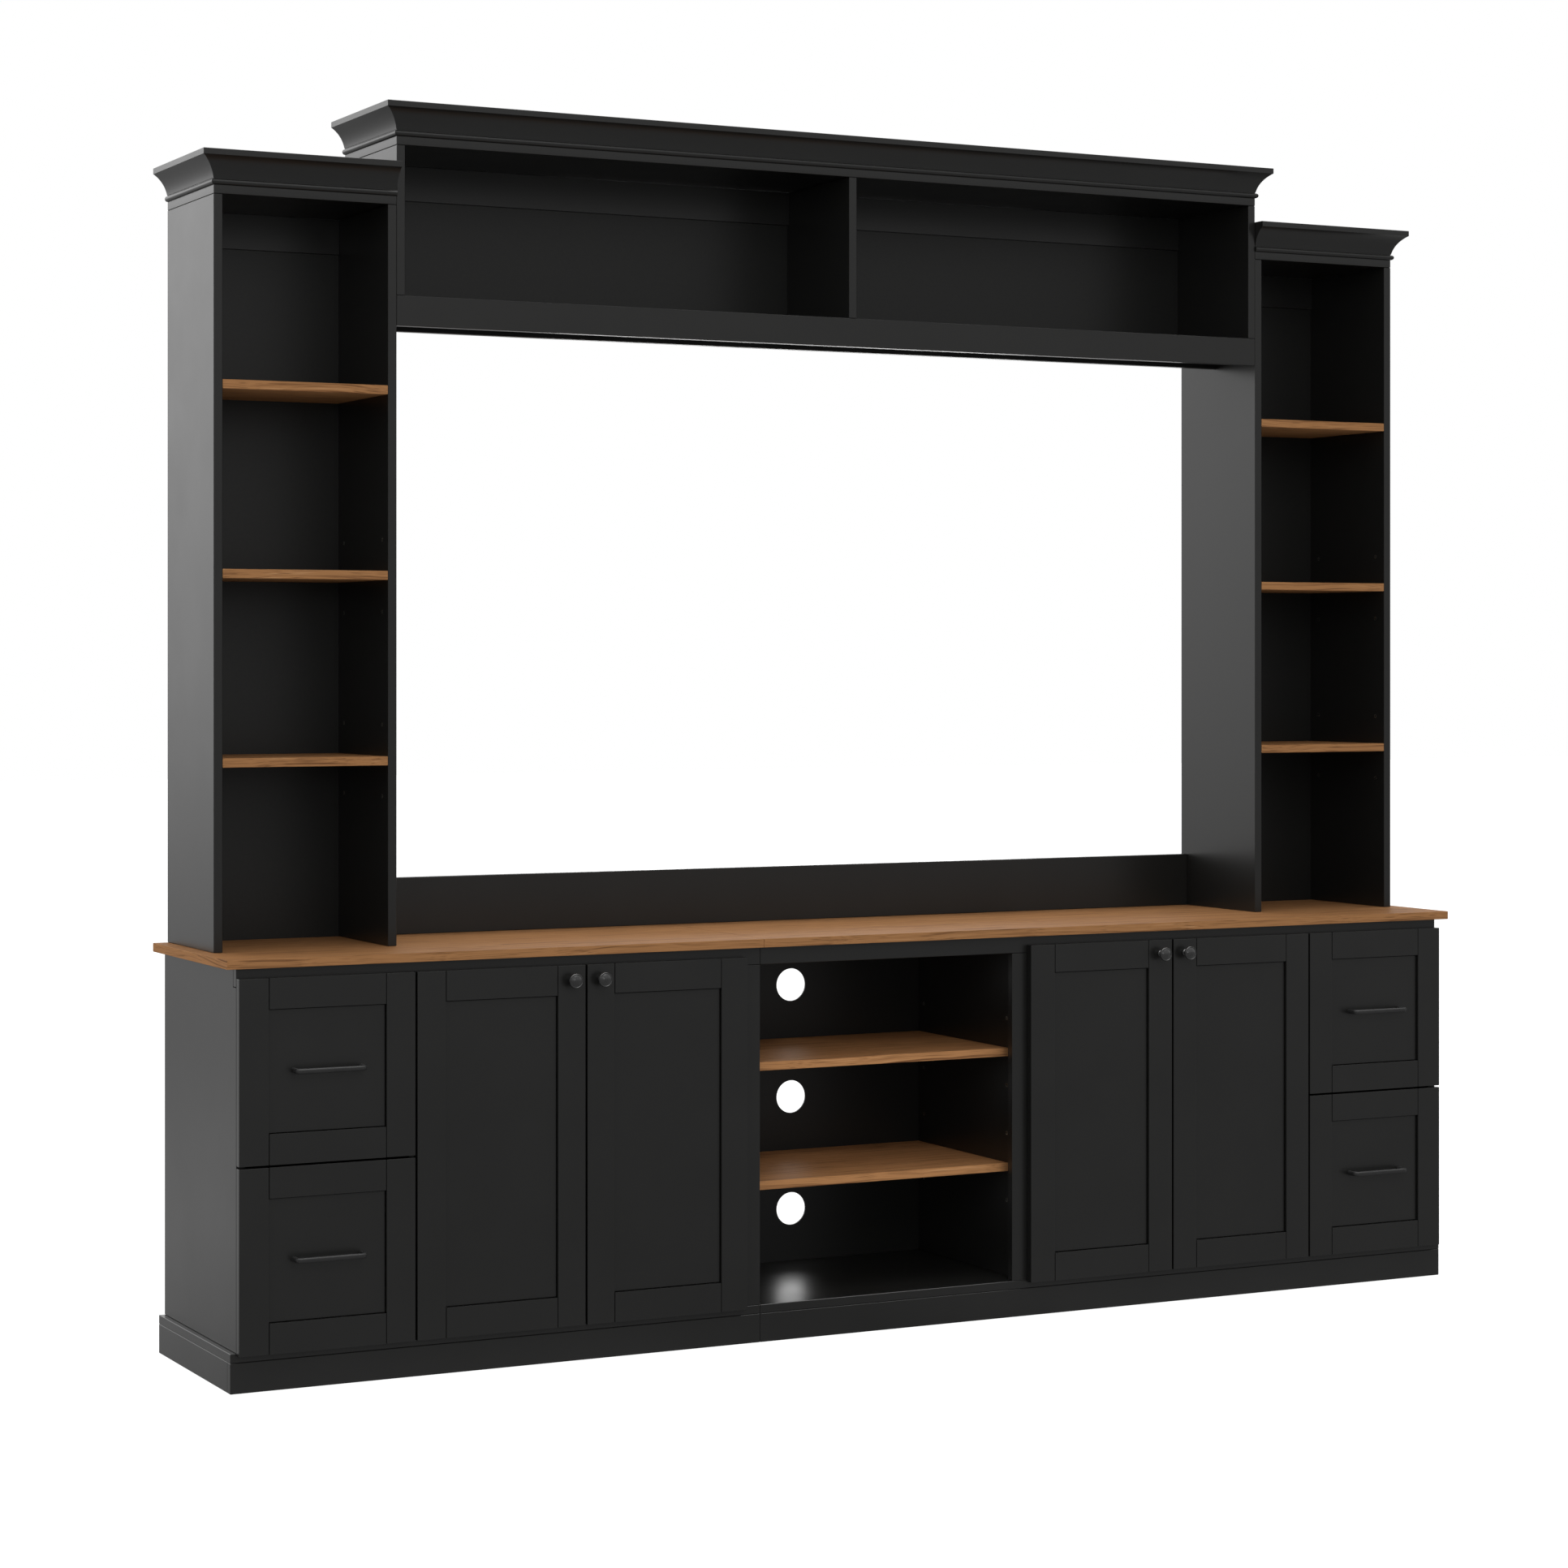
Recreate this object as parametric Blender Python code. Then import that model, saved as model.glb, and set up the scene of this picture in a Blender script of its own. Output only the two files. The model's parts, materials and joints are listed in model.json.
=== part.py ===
"""Wall entertainment centre: a low cabinet base, two shelf towers and a bridge over the television bay.

Metres, +Z up, front towards -Y. The origin is on the floor, under the middle of the whole unit.
Every named object is one closed solid. Doors and drawers hang under empties that stand on their joints.
"""
from math import cos, pi, radians, sin

import bmesh
import bpy
from mathutils import Matrix, Vector

# Boards, clearances and edges
BOARD = 0.0159                      # thickness of every laminated board
GAP = 0.0003                        # between two pieces that touch
SINK = 0.0003                       # how far a joined board enters the one that holds it
EASE = 0.0008                       # chamfer on every board edge
OVERRUN = 0.004                     # how far a cut runs out into the air

# Base cabinet
CARCASS_WIDTH = 2.509
CARCASS_DEPTH = 0.403
CARCASS_SIDE_HEIGHT = 0.6487
PLINTH_HEIGHT = 0.052
PLINTH_SIDE_OVERHANG = 0.0104
COUNTER_SIDE_OVERHANG = 0.0215
COUNTER_FRONT_OVERHANG = 0.016
TOP_RAIL_HEIGHT = 0.0315
BAY_OPENING = 0.5314                # between the two face stiles of the media bay
STILE_SETBACK = 0.0193              # from a stile's inner edge to the bay wall behind it
STILE_REVEAL = 0.0325               # stile left showing beside a door
BACK_PANEL = 0.0032
BACK_INSET = 0.0068                 # from the rear edges forward to the thin back panels
GROOVE_DEPTH = 0.005                # of the grooves that hold the thin back panels

# Media bay
BAY_SHELF_SETBACK = 0.046
BAY_SHELF_HEIGHT_SHARES = (0.3206, 0.6567)          # centres, of the side panels' height
CABLE_HOLE_HEIGHT_SHARES = (0.1562, 0.4922, 0.8283)
CABLE_HOLE_RADIUS = 0.0315
CABLE_HOLE_SIDES = 28

# Doors and drawer fronts
FRONT_THICKNESS = 0.015
FRONT_STANDOFF = 0.0005             # bumper gap behind a closed front
FRONT_GAP = 0.0035                  # between neighbouring fronts
FRONT_TOP_REVEAL = 0.0166           # rail showing above the fronts
FRONT_FLOOR_LAP = 0.0039            # fronts cover this much of the floor board's edge
FRAME_WIDTH = 0.0528
PANEL_RECESS = 0.006

# Door hinges
HINGE_END = 0.095                   # from a door's end to the hinge's centre
FLANGE_SPACE = 0.0008               # between a cup's flange and the panel beside it
CUP_RADIUS = 0.013
CUP_DEPTH = 0.0105
CUP_SIDES = 16
FLANGE_LENGTH = 0.052
FLANGE_WIDTH = 0.031
FLANGE_THICKNESS = 0.001
PLATE_LENGTH = 0.050
PLATE_WIDTH = 0.018
PLATE_THICKNESS = 0.002
PLATE_SETBACK = 0.028               # from the cabinet's front to the plate's front end
ARM_HEIGHT = 0.0115
ARM_WIDTH = 0.012
ARM_FRONT_DEPTH = 0.008

# Drawer boxes and runners
DRAWER_REAR_SPACE = 0.043           # between a drawer box and the back panel
DRAWER_BOX_HEIGHT = 0.190
DRAWER_BOX_RAISE = 0.026            # from a front's lower edge up to the box
DRAWER_SIDE = 0.012
DRAWER_BOTTOM = 0.0032
DRAWER_BOTTOM_RAISE = 0.010
RUNNER_SPACE = 0.0127               # between a drawer box and the panel beside it
RUNNER_SHEET = 0.0015
RUNNER_HEIGHT = 0.030
RUNNER_CLEARANCE = 0.0007           # between a runner's edge and the sheet of its mate
RUNNER_FRONT_SETBACK = 0.004
SLIDE_WEB = 0.0145
ROLLER_RADIUS = 0.007
ROLLER_END = 0.012                  # from a runner's end to its roller's axle
ROLLER_SIDES = 14

# Knobs and pulls
KNOB_RADIUS = 0.0135
KNOB_PROJECTION = 0.0235
KNOB_SIDES = 20
KNOB_RADIUS_SHARES = (0.56, 0.56, 0.34, 0.34, 0.88, 1.0, 1.0, 0.93, 0.82, 0.45)
KNOB_HEIGHT_SHARES = (0.0, 0.1, 0.24, 0.52, 0.68, 0.75, 0.84, 0.9, 0.87, 0.97)
PULL_LENGTH = 0.129
PULL_PROJECTION = 0.029
PULL_BAR_HEIGHT = 0.009
PULL_BAR_DEPTH = 0.008
PULL_BEND_RADIUS = 0.007
PULL_EDGE_RADIUS = 0.0022
PULL_BEND_STEPS = 4

# Towers
TOWER_INSET = 0.0054                # from the carcass side in to the tower's outer face
TOWER_WIDTH = 0.3348
TOWER_DEPTH = 0.265
TOWER_SHELVES = 3
HANG_RAIL_HEIGHT = 0.0635
BACKSPLASH_HEIGHT = 0.105

# Shelf pins
PIN_RADIUS = 0.0025
PIN_LENGTH = 0.008
PIN_STEP = 0.0635                   # from a shelf's own holes to the spare ones
PIN_TOWER_FRONT = 0.0303            # from a panel's front edge to the front row
PIN_BAY_FRONT = 0.006               # from a bay shelf's front edge to the front row
PIN_REAR = 0.0293                   # from the back panel to the rear row, in a tower
PIN_BAY_REAR = 0.021
PIN_SIDES = 8

# Bridge
TV_OPENING_HEIGHT = 1.0948
APRON_HEIGHT = 0.0537
BRIDGE_HEIGHT = 0.2656              # clear height of its compartments
BRIDGE_RISE = 0.1064                # bridge panels reach this much above the tower panels
STIFFENER_HEIGHT = 0.0346
STIFFENER_SETBACK = 0.1354

# Crown moulding, measured outwards and upwards from the top board's upper edge
CROWN_PROJECTION = 0.0264
CROWN_HEIGHT = 0.0586
CROWN_BODY = 0.012                  # moulding behind the panels' faces
BEAD_RADIUS = 0.0051
QUIRK_DEPTH = 0.0008                # of the narrow groove between the bead and the cove
QUIRK_HEIGHT = 0.0012
COVE_LEAN = (12, 60)                # degrees from upright, at the cove's foot and at its top
FASCIA_HEIGHT = 0.0105
BEAD_STEPS = 6
COVE_STEPS = 8

# Places worked out from the sizes above
REACH = FRONT_STANDOFF + FRONT_THICKNESS + max(KNOB_PROJECTION, PULL_PROJECTION - PANEL_RECESS)
BACK_Y = (CARCASS_DEPTH + REACH) / 2
FRONT_Y = BACK_Y - CARCASS_DEPTH
TOWER_Y = BACK_Y - TOWER_DEPTH
BACK_FACE_Y = BACK_Y - BACK_INSET - BACK_PANEL
FACE_Y = FRONT_Y - FRONT_STANDOFF - FRONT_THICKNESS

HALF = CARCASS_WIDTH / 2
SEAM_X = BAY_OPENING / 2
WALL_IN = SEAM_X + STILE_SETBACK
WALL_OUT = WALL_IN + BOARD
FRONT_INNER = SEAM_X + STILE_REVEAL
FRONT_WIDTH = (HALF - FRONT_INNER - 2 * FRONT_GAP) / 3
DIVIDER_X = HALF - FRONT_WIDTH - FRONT_GAP / 2
TOWER_OUT = HALF - TOWER_INSET
TOWER_IN = TOWER_OUT - TOWER_WIDTH

FLOOR_TOP = PLINTH_HEIGHT + BOARD
CARCASS_TOP = FLOOR_TOP + CARCASS_SIDE_HEIGHT
COUNTER_TOP = CARCASS_TOP + BOARD
RAIL_BOTTOM = CARCASS_TOP - TOP_RAIL_HEIGHT
FRONT_TOP = CARCASS_TOP - FRONT_TOP_REVEAL
FRONT_BOTTOM = FLOOR_TOP - FRONT_FLOOR_LAP
DRAWER_FRONT_HEIGHT = (FRONT_TOP - FRONT_BOTTOM - FRONT_GAP) / 2
APRON_BOTTOM = COUNTER_TOP + TV_OPENING_HEIGHT
BRIDGE_FLOOR_TOP = APRON_BOTTOM + APRON_HEIGHT
BRIDGE_TOP = BRIDGE_FLOOR_TOP + BRIDGE_HEIGHT
TOWER_TOP = BRIDGE_TOP - BRIDGE_RISE

DRAWER_REAR_Y = BACK_FACE_Y - DRAWER_REAR_SPACE
RUNNER_LEDGE = RUNNER_SPACE - RUNNER_SHEET - RUNNER_CLEARANCE
ROLLER_WIDTH = RUNNER_LEDGE - 2 * RUNNER_SHEET
CUP_X = FLANGE_SPACE + FLANGE_WIDTH / 2         # from the hinge's panel to its cup's centre

LEFT = -1
RIGHT = 1
SIDES = ((LEFT, "left"), (RIGHT, "right"))


def material(name, colour, roughness, metallic=0.0):
    """A plain finish for the solids."""
    finish = bpy.data.materials.new(name)
    finish.use_nodes = True
    shader = finish.node_tree.nodes["Principled BSDF"]
    shader.inputs["Base Color"].default_value = (*colour, 1.0)
    shader.inputs["Roughness"].default_value = roughness
    shader.inputs["Metallic"].default_value = metallic
    finish.diffuse_color = (*colour, 1.0)
    return finish


# Solids and how they are joined and cut

def block(side, inner, outer, y, z, ease=EASE):
    """An eased board. inner and outer are distances from the middle, towards the given side."""
    x = sorted((side * inner, side * outer))
    low = Vector((x[0], y[0], z[0]))
    high = Vector((x[1], y[1], z[1]))
    bm = bmesh.new()
    bmesh.ops.create_cube(bm, size=1.0)
    bmesh.ops.scale(bm, vec=high - low, verts=bm.verts)
    bmesh.ops.translate(bm, vec=(low + high) / 2, verts=bm.verts)
    if ease:
        bmesh.ops.bevel(bm, geom=bm.edges[:], offset=ease, segments=1, affect='EDGES')
    return bm


def rod(centre, axis, radius, length, sides):
    """A round bar about its centre, along the X or the Y axis."""
    turn = Matrix.Rotation(pi / 2, 4, 'Y' if axis == 'X' else 'X')
    bm = bmesh.new()
    bmesh.ops.create_cone(bm, cap_ends=True, segments=sides, radius1=radius, radius2=radius,
                          depth=length, matrix=Matrix.Translation(centre) @ turn)
    return bm


def merge(shapes):
    """Several separate shapes as one mesh, for one cut."""
    out = bmesh.new()
    for shape in shapes:
        mesh = bpy.data.meshes.new("part")
        shape.to_mesh(mesh)
        shape.free()
        out.from_mesh(mesh)
        bpy.data.meshes.remove(mesh)
    return out


def to_object(bm, name):
    """The mesh as an object in the scene, with its faces pointing out."""
    bmesh.ops.recalc_face_normals(bm, faces=bm.faces[:])
    mesh = bpy.data.meshes.new(name)
    bm.to_mesh(mesh)
    bm.free()
    obj = bpy.data.objects.new(name, mesh)
    bpy.context.scene.collection.objects.link(obj)
    return obj


def boolean(obj, shapes, operation):
    """Join or cut the object with each shape in turn, and keep the result as its mesh."""
    tools = [to_object(shape, "tool") for shape in shapes]
    for tool in tools:
        modifier = obj.modifiers.new(operation.lower(), 'BOOLEAN')
        modifier.operation = operation
        modifier.object = tool
        modifier.solver = 'EXACT'
    graph = bpy.context.evaluated_depsgraph_get()
    result = bpy.data.meshes.new_from_object(obj.evaluated_get(graph))
    obj.modifiers.clear()
    old = obj.data
    obj.data = result
    bpy.data.meshes.remove(old)
    for tool in tools:
        mesh = tool.data
        bpy.data.objects.remove(tool)
        bpy.data.meshes.remove(mesh)


def piece(name, finish, body, joined=(), cuts=(), parent=None, smooth=False):
    """One named solid: a body, what is joined to it and what is cut from it, under its parent."""
    obj = to_object(body, name)
    if joined:
        boolean(obj, joined, 'UNION')
    if cuts:
        boolean(obj, [merge(cuts)], 'DIFFERENCE')
    corners = [Vector(corner) for corner in obj.bound_box]
    origin = sum(corners, Vector()) / len(corners)
    if parent:
        origin = parent.location
    obj.data.transform(Matrix.Translation(-origin))
    obj.data.name = name
    obj.data.materials.clear()
    obj.data.materials.append(finish)
    if parent:
        obj.parent = parent
    else:
        obj.location = origin
    if smooth:
        obj.data.shade_smooth()
        obj.data.set_sharp_from_angle(angle=radians(40))
    return obj


def pivot(name, location):
    """An empty on a joint's axis, which carries what moves there."""
    empty = bpy.data.objects.new(name, None)
    empty.location = location
    empty.empty_display_size = BOARD
    bpy.context.scene.collection.objects.link(empty)
    return empty


def loft(rings):
    """A closed solid through rings of equally many points, capped at both ends."""
    bm = bmesh.new()
    loops = [[bm.verts.new(point) for point in ring] for ring in rings]
    for first, second in zip(loops, loops[1:]):
        for i in range(len(first)):
            j = (i + 1) % len(first)
            bm.faces.new((first[i], first[j], second[j], second[i]))
    bm.faces.new(loops[0])
    bm.faces.new(reversed(loops[-1]))
    return bm


def prism(outline, axis, span):
    """An outline pushed along the Y or the Z axis. Its points are (x, z) or (x, y)."""
    rings = []
    for end in span:
        rings.append([(a, end, b) if axis == 'Y' else (a, b, end) for a, b in outline])
    return loft(rings)


# Shelf pins and their holes

def shelf_pins(side, reach, inner, rows, z):
    """Pins on one end of a shelf. reach is that end, and inner tells which way is outwards."""
    centre_x = side * (reach + inner * (PIN_LENGTH - SINK) / 2)
    return [rod((centre_x, y, z), 'X', PIN_RADIUS, PIN_LENGTH + SINK, PIN_SIDES) for y in rows]


def pin_holes(side, face, inwards, rows, heights):
    """Blind holes in a panel's face. inwards is 1 where the panel lies further from the middle."""
    depth = PIN_LENGTH + GAP
    centre_x = side * (face + inwards * (depth - OVERRUN) / 2)
    return [rod((centre_x, y, z), 'X', PIN_RADIUS + GAP, depth + OVERRUN, PIN_SIDES)
            for y in rows for z in heights]


def spare_heights(shelf_heights):
    """Each adjustable shelf's own holes, with a spare pair above and below."""
    return [z + step * PIN_STEP for z in shelf_heights for step in (-1, 0, 1)]


# Base cabinet

def base_frame(paint, walnut):
    """Plinths, floors, end panels, rails, countertops."""
    depth = (FRONT_Y, BACK_Y)
    for side, name in SIDES:
        seam = GAP / 2 - side * SEAM_X
        plinth_end = HALF + PLINTH_SIDE_OVERHANG
        plinth_z = (0, PLINTH_HEIGHT)
        behind = (FRONT_Y + BOARD - SINK, BACK_Y)
        piece(name + "_plinth", paint,
              block(side, seam, plinth_end, (FRONT_Y, FRONT_Y + BOARD), plinth_z),
              joined=[block(side, plinth_end - BOARD, plinth_end, behind, plinth_z),
                      block(side, seam, seam + BOARD, behind, plinth_z),
                      block(side, seam + BOARD - SINK, plinth_end - BOARD + SINK,
                            (BACK_Y - BOARD, BACK_Y), plinth_z)])
        piece(name + "_floor", paint,
              block(side, seam, plinth_end, depth, (PLINTH_HEIGHT + GAP, FLOOR_TOP)))
        piece(name + "_end_panel", paint,
              block(side, HALF - BOARD, HALF, depth, (FLOOR_TOP + GAP, CARCASS_TOP)),
              joined=fixed_runners(side, HALF - BOARD, -1),
              cuts=[rail_notch(side, HALF - BOARD, HALF), back_groove(side, HALF - BOARD, 1)])
        piece(name + "_top_rail", paint,
              block(side, seam, HALF, (FRONT_Y, FRONT_Y + BOARD), (RAIL_BOTTOM, CARCASS_TOP)))
        piece(name + "_countertop", walnut,
              block(side, seam, HALF + COUNTER_SIDE_OVERHANG,
                    (FRONT_Y - COUNTER_FRONT_OVERHANG, BACK_Y), (CARCASS_TOP + GAP, COUNTER_TOP)))


def rail_notch(side, inner, outer):
    """The cut that lets the top rail lap over a panel's front corner."""
    return block(side, inner - OVERRUN, outer + OVERRUN, (FRONT_Y - OVERRUN, FRONT_Y + BOARD + GAP),
                 (RAIL_BOTTOM - GAP, CARCASS_TOP + OVERRUN), ease=0)


def back_groove(side, face, inwards, bottom=FLOOR_TOP, top=CARCASS_TOP):
    """The groove that takes a thin back panel's edge."""
    far = face + inwards * GROOVE_DEPTH
    near = face - inwards * OVERRUN
    return block(side, near, far, (BACK_FACE_Y - GAP, BACK_FACE_Y + BACK_PANEL + GAP),
                 (bottom - OVERRUN, top + OVERRUN), ease=0)


def base_walls(paint, walnut):
    """Dividers, media bay walls with their face stiles, shelves and backs."""
    upright = (FLOOR_TOP + GAP, CARCASS_TOP)
    shelf_z = [FLOOR_TOP + share * CARCASS_SIDE_HEIGHT for share in BAY_SHELF_HEIGHT_SHARES]
    rows = (FRONT_Y + BAY_SHELF_SETBACK + PIN_BAY_FRONT, BACK_FACE_Y - PIN_BAY_REAR)
    for side, name in SIDES:
        left = DIVIDER_X - BOARD / 2
        right = DIVIDER_X + BOARD / 2
        piece(name + "_divider", paint,
              block(side, left, right, (FRONT_Y, BACK_FACE_Y - GAP), upright),
              joined=fixed_runners(side, right, 1) + hinge_plates(side, left, -1),
              cuts=[rail_notch(side, left, right)])
        wall_back = BACK_Y if side < 0 else BACK_FACE_Y - GAP
        stile_edge = SEAM_X + (GAP / 2 if side < 0 else 0)
        piece(name + "_bay_wall", paint,
              block(side, WALL_IN, WALL_OUT, (FRONT_Y + BOARD + GAP, wall_back), upright),
              joined=[block(side, stile_edge, WALL_OUT, (FRONT_Y, FRONT_Y + BOARD + GAP + SINK),
                            (FLOOR_TOP + GAP, RAIL_BOTTOM - GAP))]
              + hinge_plates(side, WALL_OUT, 1),
              cuts=pin_holes(side, WALL_IN, 1, rows, spare_heights(shelf_z)))
    for z, name in zip(shelf_z, ("lower", "upper")):
        end = WALL_IN - GAP
        piece(name + "_bay_shelf", walnut,
              block(RIGHT, -end, end, (FRONT_Y + BAY_SHELF_SETBACK, BACK_FACE_Y - GAP),
                    (z - BOARD / 2, z + BOARD / 2)),
              joined=shelf_pins(LEFT, end, 1, rows, z) + shelf_pins(RIGHT, end, 1, rows, z))
    back_y = (BACK_FACE_Y, BACK_FACE_Y + BACK_PANEL)
    groove_end = HALF - BOARD + GROOVE_DEPTH - GAP
    piece("left_base_back", paint, block(LEFT, WALL_OUT + GAP, groove_end, back_y, upright))
    holes = [rod((0, BACK_FACE_Y, FLOOR_TOP + share * CARCASS_SIDE_HEIGHT), 'Y', CABLE_HOLE_RADIUS,
                 2 * (BACK_PANEL + OVERRUN), CABLE_HOLE_SIDES)
             for share in CABLE_HOLE_HEIGHT_SHARES]
    piece("right_base_back", paint, block(RIGHT, GAP - WALL_IN, groove_end, back_y, upright), cuts=holes)


# Door hinges

def outer_door_edge():
    """Distance from the middle to the hinged edge of a door that stands beside the drawers."""
    return HALF - FRONT_WIDTH - FRONT_GAP


def hinge_heights():
    """Centres of a door's two hinges."""
    return (FRONT_BOTTOM + HINGE_END, FRONT_TOP - HINGE_END)


def hinge_plates(side, face, outwards):
    """Mounting plates and arms on a panel's face. outwards is the way from the face into the cabinet."""
    root = face - outwards * SINK
    cup = face + outwards * CUP_X
    shapes = []
    for z in hinge_heights():
        plate_y = (FRONT_Y + PLATE_SETBACK, FRONT_Y + PLATE_SETBACK + PLATE_LENGTH)
        shapes.append(block(side, root, face + outwards * PLATE_THICKNESS, plate_y,
                            (z - PLATE_WIDTH, z + PLATE_WIDTH), ease=0))
        arm_y = (FRONT_Y + FLANGE_THICKNESS + GAP, plate_y[1] - PLATE_THICKNESS)
        elbow_y = arm_y[0] + ARM_FRONT_DEPTH
        arm = face + outwards * ARM_HEIGHT
        outline = ((root, arm_y[0]), (cup, arm_y[0]), (cup, elbow_y), (arm, elbow_y), (arm, arm_y[1]),
                   (root, arm_y[1]))
        arm_z = (z - ARM_WIDTH / 2, z + ARM_WIDTH / 2)
        shapes.append(prism([(side * x, y) for x, y in outline], 'Z', arm_z))
    return shapes


def hinge_cups(side, face, outwards):
    """Flanges behind a door and the cup bores through them. face is that of the panel with the arms."""
    rear = FRONT_Y - FRONT_STANDOFF
    x = face + outwards * CUP_X
    flanges = []
    bores = []
    for z in hinge_heights():
        flanges.append(block(side, x - FLANGE_WIDTH / 2, x + FLANGE_WIDTH / 2,
                             (rear - SINK, rear + FLANGE_THICKNESS),
                             (z - FLANGE_LENGTH / 2, z + FLANGE_LENGTH / 2), ease=0))
        depth = CUP_DEPTH + OVERRUN
        bores.append(rod((side * x, rear + (OVERRUN - CUP_DEPTH) / 2, z), 'Y', CUP_RADIUS, depth, CUP_SIDES))
    return flanges, bores


# Doors, drawer fronts, knobs and pulls

def panelled_front(side, inner, outer, z):
    """A front board and the cut that leaves its frame standing round a recessed panel."""
    body = block(side, inner, outer, (FACE_Y, FACE_Y + FRONT_THICKNESS), z)
    recess = block(side, inner + FRAME_WIDTH, outer - FRAME_WIDTH, (FACE_Y - OVERRUN, FACE_Y + PANEL_RECESS),
                   (z[0] + FRAME_WIDTH, z[1] - FRAME_WIDTH), ease=0)
    return body, recess


def knob_shape(centre_x, centre_z):
    """A turned mushroom knob whose base stands on a front's face."""
    rings = []
    for radius_share, height_share in zip(KNOB_RADIUS_SHARES, KNOB_HEIGHT_SHARES):
        y = FACE_Y - GAP - height_share * (KNOB_PROJECTION - GAP)
        radius = radius_share * KNOB_RADIUS
        angles = [2 * pi * i / KNOB_SIDES for i in range(KNOB_SIDES)]
        rings.append([(centre_x + radius * cos(a), y, centre_z + radius * sin(a)) for a in angles])
    bm = loft(rings)
    crown = max(bm.faces, key=lambda face: -face.calc_center_median().y)
    tip = bmesh.ops.poke(bm, faces=[crown])["verts"][0]
    tip.co.y = FACE_Y - KNOB_PROJECTION
    return bm


def bar_section():
    """Outline of a pull's bar: a rectangle with chamfered corners, as (across, up) offsets."""
    half_depth = PULL_BAR_DEPTH / 2
    half_height = PULL_BAR_HEIGHT / 2
    across = half_depth - PULL_EDGE_RADIUS
    up = half_height - PULL_EDGE_RADIUS
    return [(half_depth, -up), (half_depth, up), (across, half_height), (-across, half_height),
            (-half_depth, up), (-half_depth, -up), (-across, -half_height), (across, -half_height)]


def pull_shape(centre_x, centre_z):
    """A bar that turns back to its two feet on a drawer's recessed panel."""
    foot_y = FACE_Y + PANEL_RECESS - GAP
    bar_y = FACE_Y + PANEL_RECESS - PULL_PROJECTION + PULL_BAR_DEPTH / 2
    half = (PULL_LENGTH - PULL_BAR_DEPTH) / 2
    stations = [((-half, foot_y), (1, 0))]
    for i in range(PULL_BEND_STEPS + 1):
        a = pi / 2 * i / PULL_BEND_STEPS
        place = (-half + PULL_BEND_RADIUS * (1 - cos(a)), bar_y + PULL_BEND_RADIUS * (1 - sin(a)))
        stations.append((place, (cos(a), sin(a))))
    mirrored = [((-x, y), (-nx, ny)) for (x, y), (nx, ny) in reversed(stations)]
    rings = []
    for (x, y), (nx, ny) in stations:
        rings.append([(centre_x + x + nx * a, y + ny * a, centre_z + up) for a, up in bar_section()])
    for (x, y), (nx, ny) in mirrored:
        rings.append([(centre_x + x + nx * a, y + ny * a, centre_z + up) for a, up in bar_section()])
    return loft(rings)


def doors(paint, metal):
    """Four doors: in each pair one hangs beside the drawers and one beside the media bay."""
    z = (FRONT_BOTTOM, FRONT_TOP)
    for side, name in SIDES:
        outer = outer_door_edge()
        pairs = (("outer", outer, DIVIDER_X - BOARD / 2, -1), ("inner", FRONT_INNER, WALL_OUT, 1))
        for place, edge, face, inwards in pairs:
            title = name + "_" + place + "_door"
            hinge = pivot(title + "_hinge", (side * edge, FACE_Y, (z[0] + z[1]) / 2))
            far = edge + inwards * FRONT_WIDTH
            body, recess = panelled_front(side, min(edge, far), max(edge, far), z)
            flanges, bores = hinge_cups(side, face, inwards)
            piece(title, paint, body, joined=flanges, cuts=[recess] + bores, parent=hinge)
            knob_x = side * (far - inwards * FRAME_WIDTH / 2)
            piece(title + "_knob", metal, knob_shape(knob_x, z[1] - FRAME_WIDTH / 2), parent=hinge,
                  smooth=True)


# Drawers and their runners

def drawer_levels():
    """Lower edge of the lower and the upper drawer front."""
    return (("lower", FRONT_BOTTOM), ("upper", FRONT_BOTTOM + DRAWER_FRONT_HEIGHT + FRONT_GAP))


def runner_base(level):
    """Height of the underside of a fixed runner, for the drawer front that starts at this level."""
    box_bottom = level + DRAWER_BOX_RAISE
    return box_bottom + SLIDE_WEB - GAP - 2 * ROLLER_RADIUS - GAP - 2 * RUNNER_SHEET


def angle_bar(side, face, outwards, y, ledge, end):
    """A sheet steel angle on a panel's face: its ledge stands out at one height, its web ends at another."""
    root = face - outwards * SINK
    web = face + outwards * RUNNER_SHEET
    tip = face + outwards * RUNNER_LEDGE
    inside = ledge + (RUNNER_SHEET if end > ledge else -RUNNER_SHEET)
    outline = ((root, ledge), (tip, ledge), (tip, inside), (web, inside), (web, end), (root, end))
    return prism([(side * x, z) for x, z in outline], 'Y', y)


def fixed_runners(side, face, outwards):
    """Steel runners screwed to a panel, one for each drawer. outwards is the way into the drawer space."""
    shapes = []
    y = (FRONT_Y + RUNNER_FRONT_SETBACK, DRAWER_REAR_Y)
    for _, level in drawer_levels():
        z = runner_base(level)
        shapes.append(angle_bar(side, face, outwards, y, z, z + RUNNER_HEIGHT))
        inner_x = face + outwards * (RUNNER_SHEET - SINK + ROLLER_WIDTH / 2)
        axle = (side * inner_x, y[0] + ROLLER_END, z + RUNNER_SHEET + GAP + ROLLER_RADIUS)
        shapes.append(rod(axle, 'X', ROLLER_RADIUS, ROLLER_WIDTH, ROLLER_SIDES))
    return shapes


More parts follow.
